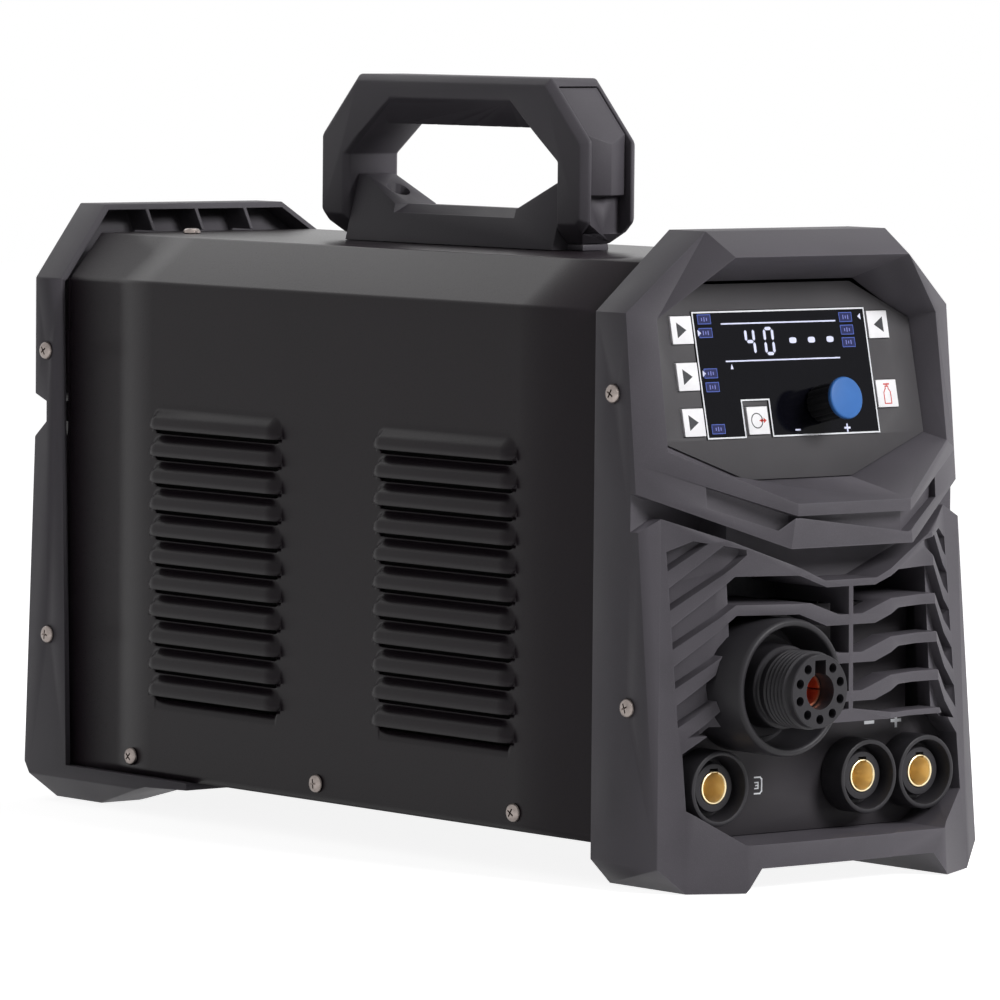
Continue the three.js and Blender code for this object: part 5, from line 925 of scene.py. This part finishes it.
class Prints:
    """Thin raised prints of one colour, gathered into one piece."""

    def __init__(self, spot, out, thick=0.1):
        self.spot, self.out, self.thick = spot, out, thick
        self.verts, self.faces = [], []

    def add(self, outline, raised=0.0):
        start, count = len(self.verts), len(outline)
        for out in (self.out + self.thick + raised, self.out - PRINT_SUNK + raised):
            self.verts += [self.spot(x, z, out) for x, z in outline]
        self.faces += [[start + v for v in face] for face in prism_faces(count)]

    def line(self, points, width, closed=False):
        """A line of even width through points, one plate for each stretch."""
        ends = list(zip(points, points[1:])) + ([(points[-1], points[0])] if closed else [])
        for n, (start, end) in enumerate(ends):
            a, b = Vector(start), Vector(end)
            along, across = line_halves(a, b, width)
            corners = (a - along + across, a - along - across, b + along - across, b + along + across)
            self.add(corners, LINE_STEP * (n % 3))

    def band(self, outer, inner):
        """The area between two outlines with the same number of corners."""
        for i in range(len(outer)):
            self.add([outer[i - 1], outer[i], inner[i], inner[i - 1]])

    def make(self, name, finish, body=MAIN):
        mesh = new_mesh(name, self.verts, self.faces)
        mesh.materials.append(MATERIALS[finish])
        placed(name, mesh, body)


def upright(x, z, out):
    """A place on an upright plane that stands forward of the part's own zero by out."""
    return at(x, -out, z)


def pointer(x, z, way, back, tip, half):
    """A triangle that points along x, whose back and tip count from its place; way is 1 or -1."""
    return [(x - way * back, z - half), (x + way * tip, z), (x - way * back, z + half)]


DISPLAY_OUT = 2.62
BORDER = [(-53.8, 265.2), (53.8, 265.2), (53.8, 206.6), (-13.6, 206.6), (-13.6, 223.6), (-30.0, 223.6),
          (-30.0, 206.6), (-53.8, 206.6)]
BORDER_INNER = [(-53.1, 264.5), (53.1, 264.5), (53.1, 207.3), (-12.9, 207.3), (-12.9, 224.3), (-30.7, 224.3),
                (-30.7, 207.3), (-53.1, 207.3)]
RULE_ENDS = (-36.3, 34.5)
RULE_HEIGHTS = (259.3, 242.05)
RULE_WIDTH = 0.65
DIGITS = ((-22.3, -17.5, "fbgc"), (-10.6, -5.7, "abcdef"))  # left, right and lit bars
DIGIT_LOW, DIGIT_HIGH = 245.0, 256.6
BAR_WIDTH = 1.5
BAR_GAP = 0.35
DASHES = (6.6, 18.3, 30.0)
DASH_Z = 250.8
DASH_HALF = (2.2, 1.35)
DASH_CORNERS = 20
DASH_POWER = 0.6  # below 1, a dash has full corners
POINTERS = ((-50.6, 255.4, 1), (-50.9, 236.8, 1), (50.2, 261.0, -1))  # place, and which way each points
CURSOR = [(-34.2, 238.4), (-32.4, 238.4), (-33.3, 240.8)]
SIGN_Z = 209.4
MINUS_ENDS = (1.2, 3.6)
PLUS_X = 33.4
BOXES = [(-46.6, 261.65), (-46.6, 255.4), (-46.8, 236.8), (-46.8, 230.5), (-46.6, 211.2),
         (41.5, 260.85), (41.5, 254.95), (41.5, 249.1)]
BOX_HALF = (3.9, 2.1)
MARK_PITCH = 1.5
MARK_HEIGHTS = (0.45, 0.75)


def bar(x0, z0, x1, z1):
    """One bar of a digit, pointed at both ends."""
    a, b = Vector((x0, z0)), Vector((x1, z1))
    along, across = line_halves(a, b, BAR_WIDTH)
    return a, a + along + across, b - along + across, b, b - along - across, a + along - across


def digit(prints, x0, x1, bars):
    """A digit of up to seven bars, which go by their usual letters."""
    low, high = DIGIT_LOW, DIGIT_HIGH
    half = (low + high) / 2
    lines = {
        "a": (x0 + BAR_GAP, high, x1 - BAR_GAP, high),
        "b": (x1, half + BAR_GAP, x1, high - BAR_GAP),
        "c": (x1, low + BAR_GAP, x1, half - BAR_GAP),
        "d": (x0 + BAR_GAP, low, x1 - BAR_GAP, low),
        "e": (x0, low + BAR_GAP, x0, half - BAR_GAP),
        "f": (x0, half + BAR_GAP, x0, high - BAR_GAP),
        "g": (x0 + BAR_GAP, half, x1 - BAR_GAP, half),
    }
    for letter in bars:
        prints.add(bar(*lines[letter]))


def dash(x):
    """The outline of a dash, between an ellipse and a rectangle."""
    points = []
    for turn in turns(DASH_CORNERS):
        c, s = math.cos(turn), math.sin(turn)
        points.append((x + DASH_HALF[0] * math.copysign(abs(c) ** DASH_POWER, c),
                       DASH_Z + DASH_HALF[1] * math.copysign(abs(s) ** DASH_POWER, s)))
    return points


def make_panel_prints():
    white = Prints(on_fascia, DISPLAY_OUT)
    white.band(BORDER, BORDER_INNER)
    white.make("display_border", "white_print")
    lit = Prints(on_fascia, DISPLAY_OUT)
    for z in RULE_HEIGHTS:
        lit.line([(x, z) for x in RULE_ENDS], RULE_WIDTH)
    for x0, x1, bars in DIGITS:
        digit(lit, x0, x1, bars)
    for x in DASHES:
        lit.add(dash(x))
    for x, z, way in POINTERS:
        lit.add(pointer(x, z, way, 0.8, 1.1, 1.5))
    lit.add(CURSOR)
    lit.line([(x, SIGN_Z) for x in MINUS_ENDS], 0.8)
    lit.add(cross(PLUS_X, SIGN_Z, 1.9, 0.45))
    lit.make("display_figures", "lit_print")
    make_display_boxes()


def make_display_boxes():
    """Small framed boxes with plain marks, where the display shows its modes."""
    fields = Prints(on_fascia, DISPLAY_OUT, 0.06)
    edges = Prints(on_fascia, DISPLAY_OUT)
    marks = Prints(on_fascia, DISPLAY_OUT, 0.14)
    half_x, half_z = BOX_HALF
    for n, (x, z) in enumerate(BOXES):
        outline = rectangle(x - half_x, x + half_x, z - half_z, z + half_z)
        fields.add(outline)
        edges.line(outline, 0.3, closed=True)
        for i in range(3):
            place = x + (i - 1) * MARK_PITCH
            tall = MARK_HEIGHTS[(i + n) % 2]
            marks.line([(place, z - tall), (place, z + tall)], 0.5)
    fields.make("display_boxes", "navy_print")
    edges.make("display_box_lines", "blue_print")
    marks.make("display_box_marks", "pale_print")


BAY_OUT = 235.5
BAY_SIGN_Z = 70.5
BAY_MINUS_ENDS = (38.6, 43.4)
BAY_PLUS_X = 58.0
BAY_SIGN_WIDTH = 1.5
BRACKET = [(-30.6, 48.8), (-27.2, 48.8), (-26.2, 47.8), (-26.2, 42.2), (-27.2, 41.2), (-30.6, 41.2)]
BRACKET_SIGN = [(-30.4, 46.4), (-28.4, 46.4), (-28.4, 43.6), (-30.4, 43.6)]
BRACKET_BAR = [(-29.8, 45.0), (-28.4, 45.0)]


def make_bay_prints():
    marks = Prints(upright, BAY_OUT)
    marks.line([(x, BAY_SIGN_Z) for x in BAY_MINUS_ENDS], BAY_SIGN_WIDTH)
    marks.add(cross(BAY_PLUS_X, BAY_SIGN_Z, 3.3, BAY_SIGN_WIDTH / 2))
    marks.line(BRACKET, 0.7)
    marks.line(BRACKET_SIGN, 0.6)
    marks.line(BRACKET_BAR, 0.6)
    marks.make("bay_marks", "white_print")


# ---- push keys
KEYS = {
    "button_left_upper": (-61.2, 257.0),
    "button_left_middle": (-61.2, 235.6),
    "button_left_lower": (-61.2, 214.6),
    "button_right_upper": (61.2, 257.0),
    "button_gas_test": (61.2, 224.6),
    "button_torch_mode": (-21.8, 214.4),
}
KEY_EDGE = 0.28 * MM
KEY_SOFT_ANGLE = 40
KEY_FACE_OUT = 3.12
ICON_THICK = 0.07
BOTTLE = [(-2.1, -4.6), (2.1, -4.6), (2.1, 0.6), (0.9, 2.4), (0.9, 3.4), (-0.9, 3.4), (-0.9, 2.4),
          (-2.1, 0.6)]
VALVE = [(0, 3.4), (0, 4.2)]
WHEEL = [(-1.5, 4.4), (1.5, 4.4)]


def gas_icon(x, z, body):
    """A gas bottle with its valve."""
    icon = Prints(on_fascia, KEY_FACE_OUT, ICON_THICK)
    for points, width, closed in ((BOTTLE, 0.45, True), (WHEEL, 0.7, False), (VALVE, 0.6, False)):
        icon.line([(x + across, z + up) for across, up in points], width, closed)
    icon.make("gas_test_icon", "red_print", body)


def torch_icon(x, z, body):
    """A ring with an arrow that leaves it."""
    ring = Prints(on_fascia, KEY_FACE_OUT, ICON_THICK)
    ring.band(circle(x - 0.8, z, 3.6), circle(x - 0.8, z, 3.15))
    ring.make("torch_mode_icon", "grey_print", body)
    arrow = Prints(on_fascia, KEY_FACE_OUT)
    arrow.line([(x + 0.9, z), (x + 3.6, z)], 0.5)
    arrow.add(pointer(x + 3.3, z, 1, 0, 1.7, 1.2))
    arrow.add(pointer(x + 1.6, z, 1, 0, 1.3, 0.9))
    arrow.make("torch_mode_arrow", "red_print", body)


def triangle_icon(node, x, z, body):
    """A triangle that points at the display."""
    icon = Prints(on_fascia, KEY_FACE_OUT, ICON_THICK)
    icon.add(pointer(x, z, -1 if x > 0 else 1, 3.1, 2.6, 3.6))
    icon.make(f"{node}_icon", "grey_print", body)


def make_keys():
    for node, (x, z) in KEYS.items():
        softened(node, KEY_EDGE, KEY_SOFT_ANGLE, 3)
        body = body_of(node)
        if node == "button_gas_test":
            gas_icon(x, z, body)
        elif node == "button_torch_mode":
            torch_icon(x, z, body)
        else:
            triangle_icon(node, x, z, body)


# ---- fan
FAN = (0.0, 168.0)
GUARD_RINGS = (14, 24.5, 35, 45.5, 56)
GUARD_WIRE = 1.1
GUARD_RING_Y = 221.4
GUARD_ARM_Y = 220.4
GUARD_ARM_REACH = 74
GUARD_ARM_WIDTH = 2.4
GUARD_EYE = 52.5  # from the fan's middle, each way
EYE_OUTER, EYE_INNER = 4, 1.6
HUB_PROFILE = [(3.3, 215.5), (3.3, 197), (19, 197), (20, 198), (20, 214), (18.5, 215.5), (3.3, 215.5)]
BLADES = 7
BLADE_ROOT, BLADE_TIP = 17, 51.5
BLADE_STEPS = 8  # both along a blade and across it
BLADE_MIDDLE_Y = 206.25
BLADE_HALF_CHORD = 8.4
BLADE_CHORD_GROWTH = 0.02  # for each millimetre of radius
BLADE_SWEEP = 1.6
BLADE_TWIST = 7.6
BLADE_CAMBER = 1.2
BLADE_HALF_THICK = 0.7


def make_fan_guard():
    verts, faces = [], []
    for radius in GUARD_RINGS:
        rows = [(radius + GUARD_WIRE * math.cos(turn), GUARD_RING_Y + GUARD_WIRE * math.sin(turn))
                for turn in turns(10)]
        points, ring_faces = revolved(rows + rows[:1], 72)
        faces += [[len(verts) + v for v in face] for face in ring_faces]
        verts += around(FAN, points)
    guard = piece("fan_guard_rings", verts, faces, "nickel", sharp=60)
    arms = Prints(upright, -GUARD_ARM_Y, GUARD_WIRE)
    corners = circle(*FAN, GUARD_ARM_REACH, 8)[1::2]  # the four on the diagonals
    for ends in zip(corners[2:], corners):
        arms.line(ends, GUARD_ARM_WIDTH)
    for x, z in ((1, 1), (1, -1), (-1, 1), (-1, -1)):
        eye = (FAN[0] + x * GUARD_EYE, FAN[1] + z * GUARD_EYE)
        arms.band(circle(*eye, EYE_OUTER, 24), circle(*eye, EYE_INNER, 24))
    arms.make("fan_guard_arms", "nickel")
    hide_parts("fan_guard")


def blade_point(turn, along, t, side):
    """A point of a blade: along runs from root to tip, t across it from -1 to 1, and side is its face."""
    radius = BLADE_ROOT + (BLADE_TIP - BLADE_ROOT) * along
    across = t * (BLADE_HALF_CHORD + BLADE_CHORD_GROWTH * radius) - BLADE_SWEEP * along ** 2
    thick = side * BLADE_HALF_THICK * (1 - 0.7 * t * t)
    y = BLADE_MIDDLE_Y + t * BLADE_TWIST + thick + BLADE_CAMBER * (1 - t * t)
    return at(FAN[0] + radius * math.sin(turn) + across * math.cos(turn), y,
              FAN[1] + radius * math.cos(turn) - across * math.sin(turn))


def make_fan_rotor():
    points, faces = revolved(HUB_PROFILE, 72)
    verts = around(FAN, points)
    steps = BLADE_STEPS
    wide = steps + 1
    size = wide * wide
    for turn in turns(BLADES):
        start = len(verts)
        for side in (1, -1):
            for i in range(wide):
                for k in range(wide):
                    verts.append(blade_point(turn, i / steps, k / steps * 2 - 1, side))
        for i in range(steps):
            for k in range(steps):
                a = start + i * wide + k
                faces.append((a, a + 1, a + 1 + wide, a + wide))
                faces.append((a + size, a + size + wide, a + size + wide + 1, a + size + 1))
            # the blade's four edges join its two faces
            for edge, step in ((i * wide, wide), (i * wide + steps, wide), (i, 1), (steps * wide + i, 1)):
                a = start + edge
                faces.append((a, a + step, a + step + size, a + size))
    rotor = piece("fan_rotor_blades", verts, faces, "knob", body_of("fan_rotor"), sharp=40)
    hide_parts("fan_rotor")


# ---- gland and air inlet
GLAND = (48.0, 76.0)
INLET = (0.0, 76.0)
NUT_STEPS = 8  # sides of a nut's mesh for each of its flats
NUT_CHAMFER = 0.9
GLAND_PROFILE = [
    (4.5, 207.1), (8, 207.1), (8, 219.1), (10.4, 219.1), (10.6, 219.3), (10.6, 220.2), (9.3, 220.2),
    (9.3, 225.2), (9.5, 225.4), (9.5, 230.4), (8.6, 232.6), (6.6, 235.1), (4.9, 235.1), (4.5, 234.7),
    (4.5, 207.1)]
INLET_PROFILE = [
    (3.4, 209.1), (6, 209.1), (6, 219.1), (7.2, 219.1), (7.2, 224.2), (5.9, 224.5), (5.9, 228.1),
    (5.2, 228.6), (4.8, 229.6), (5.2, 230.6), (6, 231.1), (6, 236.7), (5.7, 237.1), (3.8, 237.1),
    (3.4, 236.7), (3.4, 209.1)]


def make_nut(name, centre, across, y0, y1, bore, slot):
    """A six-sided nut with its corners turned off and a bore."""
    half_flat = math.pi / 6
    corner = across / math.cos(half_flat) / 2
    sides = 6 * NUT_STEPS
    flats = [across / 2 / math.cos((turn + half_flat) % (2 * half_flat) - half_flat) for turn in turns(sides)]
    end = across / 2 * 0.98
    rows = [([min(radius, flat) for flat in flats], y)
            for radius, y in ((end, y0), (corner, y0 + NUT_CHAMFER), (corner, y1 - NUT_CHAMFER), (end, y1))]
    hole = prism(circle(*centre, bore, 48), y1 + 1, y0 - 1)
    turned_piece(name, rows, centre, slot, sides, sharp=25, ends=True, cuts=[hole])


def make_rear_fittings():
    gland = turned_piece("cable_gland_body", GLAND_PROFILE, GLAND, "rubber", 64)
    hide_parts("cable_gland")
    make_nut("cable_gland_nut", GLAND, 20.4, 220.0, 225.2, 9.35, "rubber")
    inlet = turned_piece("air_inlet_body", INLET_PROFILE, INLET, "brass", 64)
    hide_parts("air_inlet")
    make_nut("air_inlet_nut", INLET, 15.4, 219.2, 224.0, 7.15, "brass")


# ---- the whole scene
SOFT_EDGES = {
    "front_frame": 0.9, "rear_frame": 0.9, "handle_grip": 0.8, "handle_plinth": 0.7,
    "handle_shield_front": 0.5, "handle_shield_rear": 0.5, "control_panel": 0.25, "connector_panel": 0.5,
    "switch_body": 0.5, "switch_rocker": 0.4, "base_tray": 0.2,
}

make_camera()
make_world()
make_floor()
dress_nodes()
make_case_cover()
make_vent_shade_sheets()
make_torch_connector()
make_sockets()
make_knob()
make_screws()
make_panel_prints()
make_bay_prints()
make_keys()
make_fan_guard()
make_fan_rotor()
make_rear_fittings()
for node_name, edge_width in SOFT_EDGES.items():
    softened(node_name, edge_width * MM)

area_light("overhead", (0.8, 0.1, 2.2), (0, 0, 0.1), (1.2, 1.2), 7)
area_light("rear", (0.3, 2.2, 1.8), (0, 0, 0.2), (1.2, 1.0), 4)
area_light("key", (0.62, -2.2, 1.45), (0, -0.1, 0.15), (0.9, 0.9), 54)
area_light("side", (2.2, -0.7, 1.0), (0, -0.1, 0.15), (1.0, 1.0), 3)

# ---- closing lines
bpy.context.scene.view_settings.view_transform = "Standard"
bpy.context.view_layer.update()
